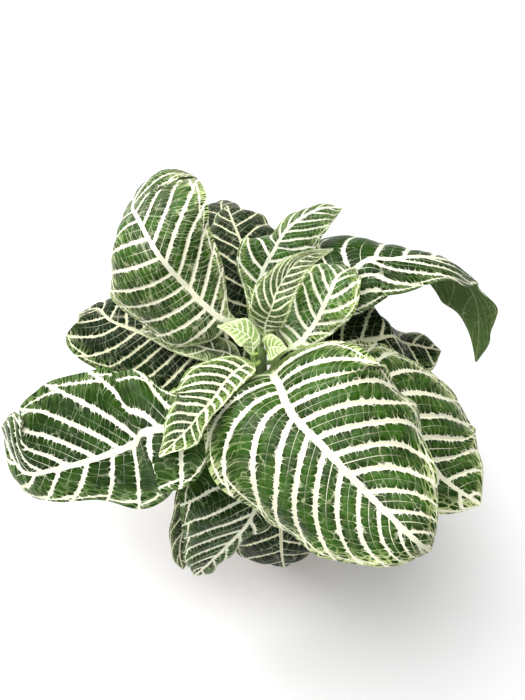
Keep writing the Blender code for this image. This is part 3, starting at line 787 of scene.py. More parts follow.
@dataclass(frozen=True)
class VeinLook:
    """How the veins are drawn, with lengths in millimetres on a leaf of band scale 1.

    fine: how fine the small unevenness is. full_gap: the gap between ribs that takes stripes of full
    width. crowding: the least and the most of that width at other gaps. taper: what a rib's stripe loses
    on its way to the margin. at_tip: what is left of it at the tip, from tip_from on. midrib_at_tip: what
    is left of the midrib's. loop and loop_rise: where the loop by the margin starts, and how far it goes
    out, as shares of the half-width. loop_width: its width at both ends, beside the rib's. join: how
    softly the stripes of the midrib, of the loop, of the teeth and of the halfway line run into the
    ribs'. tooth and tooth_fall: the length of the teeth and how soon it falls off. halfway and
    halfway_loss: the half-width of the short stripe halfway between ribs, and what it loses on its way
    out. edge and thread: where the soft edges of a stripe and of a cross vein start and end. mesh: the
    size of the network's cells. thin: as edge, for its lines. margin: where it starts to fade, and where
    it is faint. rim: where the pale line on the margin starts to fade, and where it ends.
    """

    fine: float = 700.0
    full_gap: float = 15.0
    crowding: tuple[float, float] = (0.28, 1.1)
    taper: float = 0.50
    tip_from: float = 0.45
    at_tip: float = 0.6
    midrib_at_tip: float = 0.32
    loop: float = 0.84
    loop_rise: float = 0.09
    loop_width: tuple[float, float] = (0.52, 0.22)
    join: tuple[float, float, float, float] = (1.3, 0.8, 0.12, 0.2)
    tooth: float = 0.56
    tooth_fall: float = 0.85
    halfway: float = 0.85
    halfway_loss: float = 1.3
    edge: tuple[float, float] = (-0.20, 0.16)
    thread: tuple[float, float] = (0.04, 0.26)
    mesh: float = 3.8
    thin: tuple[float, float] = (0.05, 0.16)
    margin: tuple[float, float] = (3.0, 20.0)
    rim: tuple[float, float] = (0.2, 0.8)


PLAN = VeinPlan()
LOOK = VeinLook()


class VeinPattern(ShaderGroup):
    """The striped pattern of ribs, cross veins and fine network: one shader node group for every leaf.

    It reads the numbers that each leaf's points carry: the rib count reached, the width from rib to rib,
    the distance out from the midrib and from the margin, and the leaf's own band scale. Its darker green lies
    in random patches and, as painted crease shade, beside the stripes.
    """

    def __init__(self) -> None:
        """Builds the group once."""
        super().__init__("vein_pattern", {"Rib Band": 1.6, "Midrib Band": 3.2, "Tooth": 1.0, "Net": 1.0,
                                          "Between": 1.0, "Threads": 1.0},
                         ("Band", "Cross", "Net", "Relief", "Shade", "Stalk"))
        g = self.graph
        self.place = g.node("ShaderNodeAttribute", attribute_name="rest").outputs["Vector"]
        self.rib, self.gap, self.out = g.attribute("rib"), g.attribute("rib_gap"), g.attribute("out_mm")
        self.edge, self.along, self.size = g.attribute("edge_mm"), g.attribute("along"), g.attribute("band")
        self.wobble = PLAN.wobble(g, self.place)
        self.uneven = (self.wobble + g.noise(self.place, LOOK.fine, 2.0) * 0.6) * 0.8 + 0.36
        self.reach = self.out / g.math("MAXIMUM", self.out + self.edge, 0.4)
        self.share = PLAN.share(g, self.rib)
        run = PLAN.run(g, g.attribute("run_mm"), self.rib, g.attribute("slant"))
        drift = PLAN.moved(self.wobble)
        cross = PLAN.cross(g, run, self.rib, self.size, drift)
        near, mid_half = self.ribs()
        band = self.stripes(near, cross)
        patchy = g.noise(self.place, 75.0, 2.0).step(0.38, 0.66, 0.10, 1.0)
        thread = cross.step(*LOOK.thread, self.given["Threads"], 0.0)
        thread = thread * (patchy * self.reach.step(0.1, 0.65, 0.3, 1.0))
        spot = g.vector(run / (self.size * LOOK.mesh), self.rib * 2.3 + drift, self.size * 11.0)
        mesh = g.cells(spot, 1.0, random=1.0)
        crown = (self.out - mid_half).step(-1.8, 0.2, 0.45, 0.0) * self.along.step(0.0, 0.95, 1.0, 0.3)
        pillow, grain = cross.step(0.0, 2.2, 0.0, 0.26), g.noise(self.place, 1500.0, 2.0) * 0.08
        patch = g.noise(self.place, 55.0, 3.0, 0.55).step(0.36, 0.62)
        self.give({"Band": band, "Cross": thread, "Net": self.network(mesh),
                   "Relief": (pillow + grain) + (crown + mesh.step(0.0, 0.35) * 0.16),
                   # darker-green mask: random patches, plus painted crease shade within 4 mm of each stripe
                   "Shade": g.math("ADD", patch * 0.66, near.step(0.0, 4.0, 1.0, 0.0) * 0.34, clamp=True),
                   "Stalk": g.attribute("stalk")})

    def ribs(self) -> tuple[Number, Number]:
        """The stripes on the side ribs, on the midrib and in the loop that joins the ribs by the margin.

        Returns:
            The distance to the nearest stripe's edge, and the midrib stripe's half-width, in millimetres.
        """
        g, size, share, reach = self.graph, self.size, self.share, self.reach
        off_rib = abs(self.rib - g.math("ROUND", self.rib)) * self.gap
        least, most = LOOK.crowding
        crowded = g.math("MINIMUM", g.math("MAXIMUM", self.gap / (size * LOOK.full_gap), least), most)
        rib_wide = self.given["Rib Band"] * size * crowded
        tipward = self.along.step(LOOK.tip_from, 1.0, 1.0, LOOK.at_tip)
        rib_half = rib_wide * (1.0 - reach ** 2.0 * LOOK.taper) * (self.uneven * tipward)
        thin = g.math("SUBTRACT", 1.0, self.along, clamp=True) ** 0.8
        tapered = thin * (1 - LOOK.midrib_at_tip) + LOOK.midrib_at_tip
        mid_half = self.given["Midrib Band"] * size * (tapered * self.uneven)
        loop = share ** 0.7 * LOOK.loop_rise + LOOK.loop
        from_loop = abs(reach - loop) * (self.out + self.edge)
        loop_half = rib_wide * (share.step(0.0, 1.0, *LOOK.loop_width) * self.uneven)
        near = g.math("SMOOTH_MIN", off_rib - rib_half, self.out - mid_half, size * crowded * LOOK.join[0])
        return g.math("SMOOTH_MIN", near, from_loop - loop_half, size * LOOK.join[1]), mid_half

    def stripes(self, near: Number, cross: Number) -> Number:
        """The pale stripes with teeth on the cross veins, and the short stripes halfway between ribs.

        Args:
            near: the distance to the nearest rib's stripe.
            cross: the distance to the nearest cross vein.

        Returns:
            1 on a stripe, 0 off it.
        """
        g, size = self.graph, self.size
        fall = g.math("EXPONENT", g.math("MAXIMUM", near, 0.0) / (size * -LOOK.tooth_fall))
        outward = (self.reach + (self.wobble - 0.5) * 0.9).step(0.05, 0.6, 0.4, 1.1)
        spur = size * self.given["Tooth"] * ((fall * LOOK.tooth - 0.05) * outward)
        toothed = g.math("SMOOTH_MIN", near, cross - spur, size * LOOK.join[2])
        number = g.math("FLOOR", self.rib + PLAN.from_start)
        pick = g.noise(g.vector(number * 3.7, 0.5, size), 1.3, 1.0).step(0.40, 0.58, 0.35, 1.1)
        loss = self.reach * LOOK.halfway_loss + self.wobble * 0.35
        half = size * (self.given["Between"] * pick) * (LOOK.halfway - loss)
        halfway = abs(self.share - 0.5) * self.gap - half
        return g.math("SMOOTH_MIN", toothed, halfway, LOOK.join[3]).step(*LOOK.edge, 1.0, 0.0)

    def network(self, mesh: Number) -> Number:
        """The fine network, strongest by the margin, from the distance to its cells' edges.

        Args:
            mesh: the distance to the edges of the network's cells.

        Returns:
            1 on the network, 0 off it.
        """
        g = self.graph
        margin = (self.edge / self.size).step(*LOOK.margin, 1.0, 0.0)
        net = mesh.step(*LOOK.thin, 1.0, 0.0) * (margin * 0.94 + 0.06)
        rim = self.edge.step(*LOOK.rim, 0.75, 0.0) * self.wobble
        return g.math("MULTIPLY", g.math("MAXIMUM", net, rim), self.given["Net"], clamp=True)

    def add(self, graph: Graph, finish: LeafFinish, tooth: float = 1.0,
            net: float = 1.0) -> dict[str, Number]:
        """Puts the group into a material.

        Args:
            graph: the material's graph.
            finish: whose stripes it takes.
            tooth: how far the cross veins show beside the ribs.
            net: how strong the fine network is.

        Returns:
            The group's outputs.
        """
        return self.put(graph, {
            "Rib Band": finish.rib_band, "Midrib Band": finish.midrib_band, "Tooth": tooth, "Net": net,
            "Between": finish.between, "Threads": finish.threads})


class EarthGrain(ShaderGroup):
    """Speckle and blotch for clay and soil, as one shader node group."""

    def __init__(self) -> None:
        """Builds the group once."""
        super().__init__("earth_grain", {"Grain": 600.0, "Blotch": 25.0}, ("Speck", "Blotch", "Relief"))
        g = self.graph
        place = g.place()
        speck = g.noise(place, self.given["Grain"], 4.0, 0.7)
        blotch = g.noise(place, self.given["Blotch"], 5.0, 0.6)
        pits = g.cells(place, 520.0, "F1", 1.0).step(0.0, 0.5)
        self.give({"Speck": speck.step(0.35, 0.7), "Blotch": blotch.step(0.32, 0.68),
                   "Relief": speck + pits * 0.25})


@dataclass
class LeafMaterials:
    """The materials of every leaf: an upper and an under one for each age.

    pale: how dark the band's darker parts are. deep: how dark the under face's darker green is; that green
    lies in random patches and, as painted crease shade, beside the stripes. net_share: how far the net covers
    the green. band_rough: what a band adds to the roughness. under_rib and under_midrib: what the under face
    keeps of a rib's stripe, and the half-width of its midrib's. under_rough and under_gloss: the roughness of
    the under face, and how much light it throws back.
    """

    veins: VeinPattern
    pale: float = 0.84
    deep: float = 0.72
    net_share: float = 0.85
    band_rough: float = 0.14
    under_rib: float = 0.3
    under_midrib: float = 1.4
    under_rough: float = 0.6
    under_gloss: float = 0.35
    made: dict[tuple[Tone, Face], bpy.types.Material] = field(default_factory=dict)

    def get(self, tone: Tone, face: Face) -> bpy.types.Material:
        """The material for a leaf of that age, made when first asked for.

        Args:
            tone: the leaf's age.
            face: which of its faces.

        Returns:
            The material.
        """
        key = (tone, face)
        if key not in self.made:
            self.made[key] = self.upper(tone) if face is Face.UPPER else self.under(tone)
        return self.made[key]

    def upper(self, tone: Tone) -> bpy.types.Material:
        """Glossy green between raised pale bands.

        Args:
            tone: the leaf's age.

        Returns:
            The material.
        """
        finish = FINISHES[tone]
        made, g, shader = new_material(f"leaf_{tone.value}_upper")
        veins = self.veins.add(g, finish)
        # the darker green in random patches, and as painted crease shade beside the stripes
        green = g.mix(veins["Shade"], finish.blade, finish.deep)
        green = g.mix(veins["Net"] * self.net_share, green, finish.net)
        green = g.mix(veins["Cross"], green, finish.net)
        pale = tuple(self.pale * c for c in finish.band)
        band = g.mix(g.noise(g.place(), 420.0, 3.0), finish.band, pale)
        skin = g.mix(veins["Band"], green, band)
        g.feed(shader.inputs["Base Color"], g.mix(veins["Stalk"], skin, finish.stalk))
        rough = g.noise(g.place(), 120.0, 3.0) * 0.12 + finish.rough
        g.feed(shader.inputs["Roughness"], rough + veins["Band"] * self.band_rough)
        shader.inputs["Specular IOR Level"].default_value = finish.gloss
        g.feed(shader.inputs["Normal"], g.bump(veins["Relief"], 0.0010, 0.8))
        return made

    def under(self, tone: Tone) -> bpy.types.Material:
        """Dull green with pale ribs.

        Args:
            tone: the leaf's age.

        Returns:
            The material.
        """
        plain = FINISHES[tone]
        finish = replace(plain, rib_band=plain.rib_band * self.under_rib, midrib_band=self.under_midrib,
                         between=0.0, threads=1.0)
        made, g, shader = new_material(f"leaf_{tone.value}_under")
        veins = self.veins.add(g, finish, tooth=0.35, net=0.5)
        # the darker under green in random patches, and as painted crease shade beside the stripes
        deep = tuple(self.deep * c for c in finish.under)
        green = g.mix(veins["Shade"], finish.under, deep)
        green = g.mix(veins["Cross"] * 0.4, green, finish.under_rib)
        skin = g.mix(veins["Band"] * 0.62, green, finish.under_rib)
        g.feed(shader.inputs["Base Color"], g.mix(veins["Stalk"], skin, finish.stalk))
        shader.inputs["Roughness"].default_value = self.under_rough
        shader.inputs["Specular IOR Level"].default_value = self.under_gloss
        g.feed(shader.inputs["Normal"], g.bump(veins["Relief"], 0.0008, 0.7))
        return made


class ReliefTree(ShapeTree):
    """The tree that swells a leaf between its ribs and its cross veins, and dresses its two faces."""

    def __init__(self) -> None:
        """Builds the tree once."""
        super().__init__("leaf_relief", {
            "Quilt": ("Float", 0.0015), "Pucker": ("Float", 0.0006), "Lump": ("Float", 0.0006),
            "Lump Size": ("Float", 90.0), "Upper": ("Material", None), "Under": ("Material", None)})
        g, given = self.graph, self.start.outputs
        quilt, pucker, lump = (Number(g, given[key]) for key in ("Quilt", "Pucker", "Lump"))
        rib, body, size = self.number("rib"), self.number("body"), self.number("band")
        rest = self.named("rest", "FLOAT_VECTOR")
        crest = abs(g.math("SINE", rib * math.pi)) ** 0.72 - self.number("crease") * 0.32
        swell = (crest * 1.25 - 0.25) * (quilt * body)
        run = PLAN.run(g, self.number("run_mm"), rib, self.number("slant"))
        cross = PLAN.cross(g, run, rib, size, PLAN.moved(PLAN.wobble(g, rest)))
        pillow = (cross / size).step(0.0, 1.9) - 0.6
        lumps = g.noise(rest, given["Lump Size"], 2.0, 0.5) - 0.5
        push = swell + (lumps * (lump * body) + pillow * pucker * (body * crest))
        offset = g.scaled(self.named("out_dir", "FLOAT_VECTOR"), push)
        shape = self.chain("GeometryNodeSetPosition", given["Geometry"], Offset=offset)
        shape = self.chain("GeometryNodeRealizeInstances", shape)
        shape = self.chain("GeometryNodeSetMaterial", shape, Material=given["Upper"])
        shape = self.chain("GeometryNodeSetMaterial", shape, Material=given["Under"],
                           Selection=self.named("is_under", "BOOLEAN"))
        g.feed(self.end.inputs["Geometry"], shape)

    def named(self, name: str, kind: str = "FLOAT") -> Socket:
        """A number, direction or mark that the mesh carries.

        Args:
            name: its name on the mesh.
            kind: its data type.

        Returns:
            Its socket.
        """
        made = self.graph.node("GeometryNodeInputNamedAttribute", data_type=kind)
        made.inputs["Name"].default_value = name
        return made.outputs["Attribute"]

    def number(self, name: str) -> Number:
        """A number that the mesh carries."""
        return Number(self.graph, self.named(name))


class Midrib:
    """The line of a leaf from the stem to its tip, with a frame carried along it without twisting."""

    STRAIGHT = 4.0
    SAMPLES = 481
    SETTLING = 3

    def __init__(self, shape: LeafShape, start: Values) -> None:
        """Samples the line.

        Args:
            shape: the leaf's sizes.
            start: where the stalk meets the stem.
        """
        az = math.radians(shape.azimuth)
        out = np.array([math.cos(az), math.sin(az), 0.0])
        line = flowing_line([start, start + out * self.STRAIGHT] + [np.array(p, float) for p in shape.path])
        arc = np.concatenate([[0], np.cumsum(np.linalg.norm(np.diff(line, axis=0), axis=1))])
        self.length = float(arc[-1])
        self.share = np.linspace(0, 1, self.SAMPLES)
        self.point = self.read(self.share * arc[-1], arc, line)
        coarse = self.point[::2].copy()
        along = self.directions(coarse, out)
        ups = [np.array([0.0, 0.0, 1.0])]
        for t in along[1:]:
            v = ups[-1] - t * (ups[-1] @ t)
            ups.append(v / np.linalg.norm(v))
        half = np.linspace(0, 1, len(coarse))
        self.up = self.read(self.share, half, np.array(ups))
        self.left = self.read(self.share, half, np.cross(np.array(ups), along))

    def directions(self, points: Values, first: Values) -> Values:
        """The line's smoothed direction at each of its points, the first of which is given.

        Args:
            points: places along the line.
            first: the direction at the first.

        Returns:
            A unit direction for each.
        """
        along = np.gradient(points, axis=0)
        along /= np.linalg.norm(along, axis=1)[:, None]
        along[0] = first
        for _ in range(self.SETTLING):
            along[1:-1] = (along[:-2] + along[1:-1] + along[2:]) / 3
            along /= np.linalg.norm(along, axis=1)[:, None]
        return along

    @staticmethod
    def read(where: Values, known: Values, table: Values) -> Values:
        """A table of points or directions, read where it is asked for."""
        return np.stack([np.interp(where, known, table[:, k]) for k in range(3)], -1)

    def at(self, share: Values) -> list[Values]:
        """Points, left directions and upward directions at shares of the length.

        Args:
            share: where on the line, 0 to 1.

        Returns:
            The three arrays.
        """
        found = [self.read(share, self.share, table) for table in (self.point, self.left, self.up)]
        for unit in found[1:]:
            unit /= np.linalg.norm(unit, axis=-1)[..., None]
        return found


def smooth(value: Values) -> Values:
    """A smooth step of values from 0 to 1."""
    v = np.clip(value, 0, 1)
    return v * v * (3 - 2 * v)


def bell(value: Values, spread: float) -> Values:
    """1 where the value is 0, falling off on both sides."""
    return np.exp(-(value / spread) ** 2)


@dataclass(frozen=True)
class Section:
    """The cross-section of a leaf. Lengths are in millimetres, its ribs' for a stalk of the full radius.

    full_stalk: that radius. blade and margin: the blade's half-thickness by the midrib and at the margin.
    crown, keel and side_rib: how far the midrib stands out above and below, and the side ribs below.
    crown_half and keel_half: their half-widths. side_rib_half: the side rib's, in gaps between ribs.
    channel: the depth and the half-width of the groove on the stalk, in radii. stalk_end and turnover:
    where the stalk starts to flatten into the blade and how long that takes, in lengths of the stalk.
    roundness: how near to a full round it is.
    """

    full_stalk: float = 2.6
    blade: float = 0.26
    margin: float = 0.16
    crown: float = 0.42
    crown_half: float = 1.5
    keel: float = 1.75
    keel_half: float = 1.3
    side_rib: float = 0.5
    side_rib_half: float = 0.07
    channel: float = 0.35
    stalk_end: float = 0.55
    turnover: float = 0.75
    roundness: float = 0.97


@dataclass
class Sheet:
    """The middle surface of a leaf: a row for each step along it, a column for each step across.

    point and normal: places in millimetres, and directions. start: where each row leaves the midrib, as a
    share of the leaf's length. blade: how far along the blade that is. leant: how far along the blade a
    point is, as its rib leans. reach: how far out it is, 0 to 1. width: the half-width there. rib: the rib
    count. fade: 1 along the blade and 0 at both its ends. length: the leaf's length.
    """

    point: Values
    normal: Values
    start: Values
    blade: Values
    leant: Values
    reach: Values
    width: Values
    rib: Values
    fade: Values
    length: float


@dataclass
class Leaf:
    """One leaf with its stalk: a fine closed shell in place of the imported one.

    rows_to_a_rib: rows of points from one side rib to the next. stalk_rows: rows on the stalk. straight:
    how evenly the columns stand, 1 for even gaps. half_turn: by how much the waves of the right margin
    are shifted. widest and longest: half-width and length in millimetres of the leaf whose bands are as
    wide as its finish says. right_run: what the distance along the ribs starts at on the right half, so
    that the halves differ. swell, pucker and lump: how far the blade stands out between ribs, between
    cross veins and unevenly, for its quilt. lump_size: how fine the unevenness is. soft_angle: the
    sharpest edge in degrees that is shaded smooth. section: its cross-section.
    """

    name: str
    shape: LeafShape
    stem_radius: float
    rows_to_a_rib: int = 12
    stalk_rows: int = 10
    straight: float = 0.6
    half_turn: float = 0.17
    widest: float = 66.0
    longest: float = 200.0
    right_run: float = 300.0
    swell: float = 1.35
    pucker: float = 0.2
    lump: float = 0.8
    lump_size: float = 75.0
    soft_angle: float = 50.0
    section: Section = Section()

    def grid(self) -> tuple[Values, Values]:
        """Where each row starts on the midrib, and where each column lies from the midrib to the margins.

        Returns:
            The rows' shares of the length, and the columns' places from -1 to 1.
        """
        s = self.shape
        blade = np.linspace(0, 1, (s.ribs + 1) * self.rows_to_a_rib + 1) ** s.crowd
        stalk = np.linspace(0, s.foot, self.stalk_rows, endpoint=False)
        start = np.concatenate([stalk, s.foot + (1 - s.foot) * blade])
        u = np.linspace(-1, 1, s.columns + 1)
        return start, self.straight * u + (1 - self.straight) * u ** 3

    def sides(self, leant: Values, on_left: Values) -> list[Values]:
        """The half-width, the rise and the curl at each point.

        Args:
            leant: how far along the blade each point is.
            on_left: whether it is on the left half.

        Returns:
            The three arrays, the angles in radians.
        """
        halves = []
        for side in (self.shape.left, self.shape.right):
            halves.append((monotone(WIDTH_STATIONS, (self.shape.stalk, *side.widths, TIP_HALF), leant),
                           np.radians(monotone(TURN_STATIONS, side.rise, leant)),
                           np.radians(monotone(TURN_STATIONS, side.curl, leant))))
        return [np.where(on_left, a, b) for a, b in zip(*halves)]

    def sheet(self) -> Sheet:
        """The middle surface: bent along the midrib, raised, curled, and waved at its margins.

        Returns:
            The surface with what is known at each of its points.
        """
        s = self.shape
        az = math.radians(s.azimuth)
        seat = self.stem_radius + GAP
        midrib = Midrib(s, np.array([math.cos(az) * seat, math.sin(az) * seat, s.height]))
        rows, columns = self.grid()
        start, across = rows[:, None] * np.ones(len(columns)), columns[None, :] * np.ones((len(rows), 1))
        blade = np.clip((start - s.foot) / (1 - s.foot), 0, 1)
        reach, on_left = np.abs(across), across >= 0
        lean = np.where(on_left, s.left.sweep, s.right.sweep) * (reach + reach ** 2) / 2
        leant = 1 - (1 - blade) * (TIP_SPREAD + (1 - TIP_SPREAD) * (1 - blade) ** lean)
        centre, left, up = midrib.at(np.where(start > s.foot, s.foot + (1 - s.foot) * leant, start))
        sign = np.where(on_left, 1.0, -1.0)
        width, rise, curl = self.sides(leant, on_left)
        bend = np.where(np.abs(curl) < LEAST_BEND, LEAST_BEND, curl)
        turn = rise + bend * reach
        out = (np.sin(turn) - np.sin(rise)) / bend * width
        lift = (np.cos(rise) - np.cos(turn)) / bend * width
        flat = left * sign[..., None]
        normal = up * np.cos(turn)[..., None] - flat * np.sin(turn)[..., None]
        height, waves, phase = s.wave
        fade = np.clip(leant / FOOT_FADE, 0, 1) * np.clip((1 - leant) / TIP_FADE, 0, 1)
        angle = 2 * math.pi * (waves * leant + phase + self.half_turn * (1 - sign))
        wave = height * reach ** 2.2 * fade * np.sin(angle)
        point = centre + flat * out[..., None] + up * lift[..., None] + normal * wave[..., None]
        stagger = np.where(on_left, 0.0, RIGHT_STAGGER)
        rib = ((blade ** (1 / s.crowd)) * (2 * s.ribs + 2) - 1) / 2 + stagger
        return Sheet(point, normal, start, blade, leant, reach, width, rib, fade, midrib.length)

    def build(self, relief: ReliefTree, finishes: LeafMaterials) -> bpy.types.Object:
        """Makes the leaf.

        Args:
            relief: the tree that shapes and dresses it.
            finishes: where its materials come from.

        Returns:
            The finished piece.
        """
        s, sheet = self.shape, self.sheet()
        top, low = self.thickness(sheet)
        upper = sheet.point + sheet.normal * top[..., None]
        lower = sheet.point - sheet.normal * low[..., None]
        thing = self.shell(upper, lower, {"out_dir": sheet.normal, "rest": sheet.point * MM},
                           self.body_facts(sheet) | self.vein_facts(sheet))
        made = relief.shape(thing, self.name + "_fine", {
            "Quilt": s.quilt * self.swell * MM, "Pucker": s.quilt * self.pucker * MM,
            "Lump": s.quilt * self.lump * MM, "Lump Size": self.lump_size,
            "Upper": finishes.get(s.tone, Face.UPPER), "Under": finishes.get(s.tone, Face.UNDER)})
        made.data.shade_smooth()
        made.data.set_sharp_from_angle(angle=math.radians(self.soft_angle))
        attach(made, "root")
        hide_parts(self.name)
        return made

    def thickness(self, sheet: Sheet) -> tuple[Values, Values]:
        """Thickness above and below the middle: a round stalk, then a thin blade with raised ribs beneath.

        Args:
            sheet: the middle surface.

        Returns:
            The two thicknesses in millimetres.
        """
        s, reach, cut = self.shape, sheet.reach, self.section
        blend = smooth((sheet.start - s.foot * cut.stalk_end) / (s.foot * cut.turnover))
        round_half = s.stalk * np.sqrt(np.clip(1 - (cut.roundness * reach) ** 2, 0, 1))
        channel = cut.channel * s.stalk * bell(reach, cut.channel) * smooth(sheet.start / (s.foot * 0.4))
        plain = cut.blade + (cut.margin - cut.blade) * reach
        scale = s.stalk / cut.full_stalk
        off, thin = reach * sheet.width, (1 - sheet.blade) ** 0.8
        crown = cut.crown * scale * thin * bell(off, cut.crown_half * scale)
        keel = cut.keel * scale * thin * bell(off, cut.keel_half * scale)
        near = np.abs(sheet.rib - np.round(sheet.rib))
        side_rib = cut.side_rib * scale * bell(near, cut.side_rib_half) * (1 - reach) ** 0.6
        side_rib = side_rib * smooth(sheet.blade / 0.04)
        top = (round_half - channel) * (1 - blend) + (plain + crown) * blend
        low = round_half * (1 - blend) + (plain + keel + side_rib) * blend
        return top, low

    def body_facts(self, sheet: Sheet) -> dict[str, Values]:
        """What the relief reads at each point.

        Args:
            sheet: the middle surface.

        Returns:
            Arrays by name: how freely it swells, the rib count, the crease halfway between ribs, and the
            stalk.
        """
        reach, rib, foot = sheet.reach, sheet.rib, self.shape.foot
        body = np.sin(math.pi * reach ** 0.8) * 0.85 + 0.25 * reach
        crease = bell(rib - np.floor(rib) - 0.5, 0.09) * np.clip(1.15 - reach / 0.62, 0, 1)
        stalk = 1 - smooth((sheet.start - foot * 0.75) / 0.10)
        return {"body": body * sheet.fade, "rib": rib, "crease": crease, "stalk": stalk}

    def vein_facts(self, sheet: Sheet) -> dict[str, Values]:
        """What the vein pattern reads at each point.

        Args:
            sheet: the middle surface.

        Returns:
            Arrays by name: the gap from rib to rib, the distances out from the midrib, in from the margin
            and along the ribs, how far along the blade, the band scale, and how far rows slant along the
            ribs.
        """
        reach, width = sheet.reach, sheet.width
        d_row, d_col = np.gradient(sheet.point, axis=0), np.gradient(sheet.point, axis=1)
        step = np.linalg.norm(d_col, axis=-1)
        unit = d_col / np.maximum(step, 1e-6)[..., None]
        forward = np.sum(d_row * unit, -1)
        per_rib = np.maximum(np.abs(np.gradient(sheet.rib, axis=0)), 1e-4)
        gap = np.linalg.norm(d_row - unit * forward[..., None], axis=-1) / per_rib
        middle = sheet.point.shape[1] // 2
        on_right = np.arange(sheet.point.shape[1]) < middle
        slant = forward / per_rib * np.where(on_right, -1, 1)
        run = np.cumsum(step, axis=1)
        run = np.abs(run - run[:, middle:middle + 1]) + np.where(on_right, self.right_run, 0)
        widest = float(np.median(np.sort(width.max(axis=1))[-20:]))
        share = np.clip(min(widest / self.widest, sheet.length / self.longest), 0.2, 1.15)
        band = np.full(sheet.rib.shape, share * self.shape.bands)
        return {"rib_gap": np.clip(gap, 0.5, 60), "out_mm": reach * width, "edge_mm": (1 - reach) * width,
                "run_mm": run, "along": sheet.leant, "band": band, "slant": np.clip(slant, -60, 60)}

    def shell(self, upper: Values, lower: Values, vectors: dict[str, Values],
              facts: dict[str, Values]) -> bpy.types.Object:
        """The closed shell with its attributes and UV map.

        Args:
            upper: the upper face's points.
            lower: the lower face's points.
            vectors: a vector for each point of a face, by name.
            facts: numbers for each point of a face.

        Returns:
            An object with that mesh.
        """
        n, m = upper.shape[:2]
        under = n * m
        index = np.arange(under).reshape(n, m)
        a, b, c, d = index[:-1, :-1], index[:-1, 1:], index[1:, 1:], index[1:, :-1]
        top = np.stack([a, d, c, b], -1).reshape(-1, 4)
        low = np.stack([a, b, c, d], -1).reshape(-1, 4) + under
        walls = []
        for e, f, outward in ((index[:-1, 0], index[1:, 0], True), (index[:-1, -1], index[1:, -1], False),
                              (index[0, :-1], index[0, 1:], False), (index[-1, :-1], index[-1, 1:], True)):
            wall = [e, e + under, f + under, f] if outward else [e, f, f + under, e + under]
            walls.append(np.stack(wall, -1))
        faces = np.concatenate([top, low, *walls])
        mesh = bpy.data.meshes.new(self.name + "_fine")
        verts = np.concatenate([upper.reshape(-1, 3), lower.reshape(-1, 3)]) * MM
        mesh.from_pydata(verts.tolist(), [], faces.tolist())
        for key, value in facts.items():
            layer = mesh.attributes.new(key, "FLOAT", "POINT")
            layer.data.foreach_set("value", np.tile(value.reshape(-1), 2).astype(np.float32))
        for key, value in vectors.items():
            layer = mesh.attributes.new(key, "FLOAT_VECTOR", "POINT")
            both = np.tile(value.reshape(-1, 3), (2, 1)).astype(np.float32)
            layer.data.foreach_set("vector", both.reshape(-1))
        mark = np.zeros(len(faces), bool)
        mark[len(top):len(top) + len(low)] = True
        mesh.attributes.new("is_under", "BOOLEAN", "FACE").data.foreach_set("value", mark)
        along = np.repeat(np.linspace(0.02, 0.98, n)[:, None], m, 1).reshape(-1)
        across = np.repeat(np.linspace(0.02, 0.48, m)[None, :], n, 0).reshape(-1)
        place = np.concatenate([np.stack([along, across], -1), np.stack([along, across + 0.5], -1)])
        loops = np.zeros(len(mesh.loops), np.int64)
        mesh.loops.foreach_get("vertex_index", loops)
        mesh.uv_layers.new(name="faces").data.foreach_set("uv", place[loops].astype(np.float32).reshape(-1))
        return linked(self.name + "_shell", mesh)


def turned(name: str, profile: list[tuple[float, float]], sides: int,
           finish: bpy.types.Material) -> bpy.types.Object:
    """A solid of revolution about Z.

    Args:
        name: the piece's name.
        profile: radii and heights in millimetres, running down the outer side.
        sides: how many steps round.
        finish: its material.

    Returns:
        A plain mesh object.
    """
    mesh = bpy.data.meshes.new(name)
    edges = [(i, i + 1) for i in range(len(profile) - 1)]
    mesh.from_pydata([(r * MM, 0.0, z * MM) for r, z in profile], edges, [])
    mesh.materials.append(finish)
    thing = linked(name + "_profile", mesh)
    screw = thing.modifiers.new("turn", "SCREW")
    screw.axis, screw.steps, screw.render_steps = "Z", sides, sides
    screw.use_merge_vertices, screw.merge_threshold = True, 0.00001
    return applied(thing, name)


def arc(cx: float, cz: float, radius: float, first: float, last: float,
        steps: int = 6) -> list[tuple[float, float]]:
    """Points on a corner's arc.

    Args:
        cx: the centre's distance from the axis.
        cz: the centre's height.
        radius: the corner's radius.
        first: where the arc starts, in degrees.
        last: where it ends.
        steps: how many points it has.

    Returns:
        Radii and heights.
    """
    turns = [math.radians(a) for a in np.linspace(first, last, steps)]
    return [(cx + radius * math.cos(a), cz + radius * math.sin(a)) for a in turns]


@dataclass(frozen=True)
class ClayFinish:
    """Fired clay: its two shades, the specks, the pale bloom, and the damp foot with its height in metres."""

    dark: RGB = (0.50, 0.205, 0.105)
    pale: RGB = (0.60, 0.275, 0.155)
    speck: RGB = (0.68, 0.40, 0.27)
    bloom: RGB = (0.74, 0.66, 0.56)
    damp: RGB = (0.27, 0.10, 0.055)
    damp_height: float = 0.035
    rough: tuple[float, float] = (0.78, 0.92)
    gloss: float = 0.3


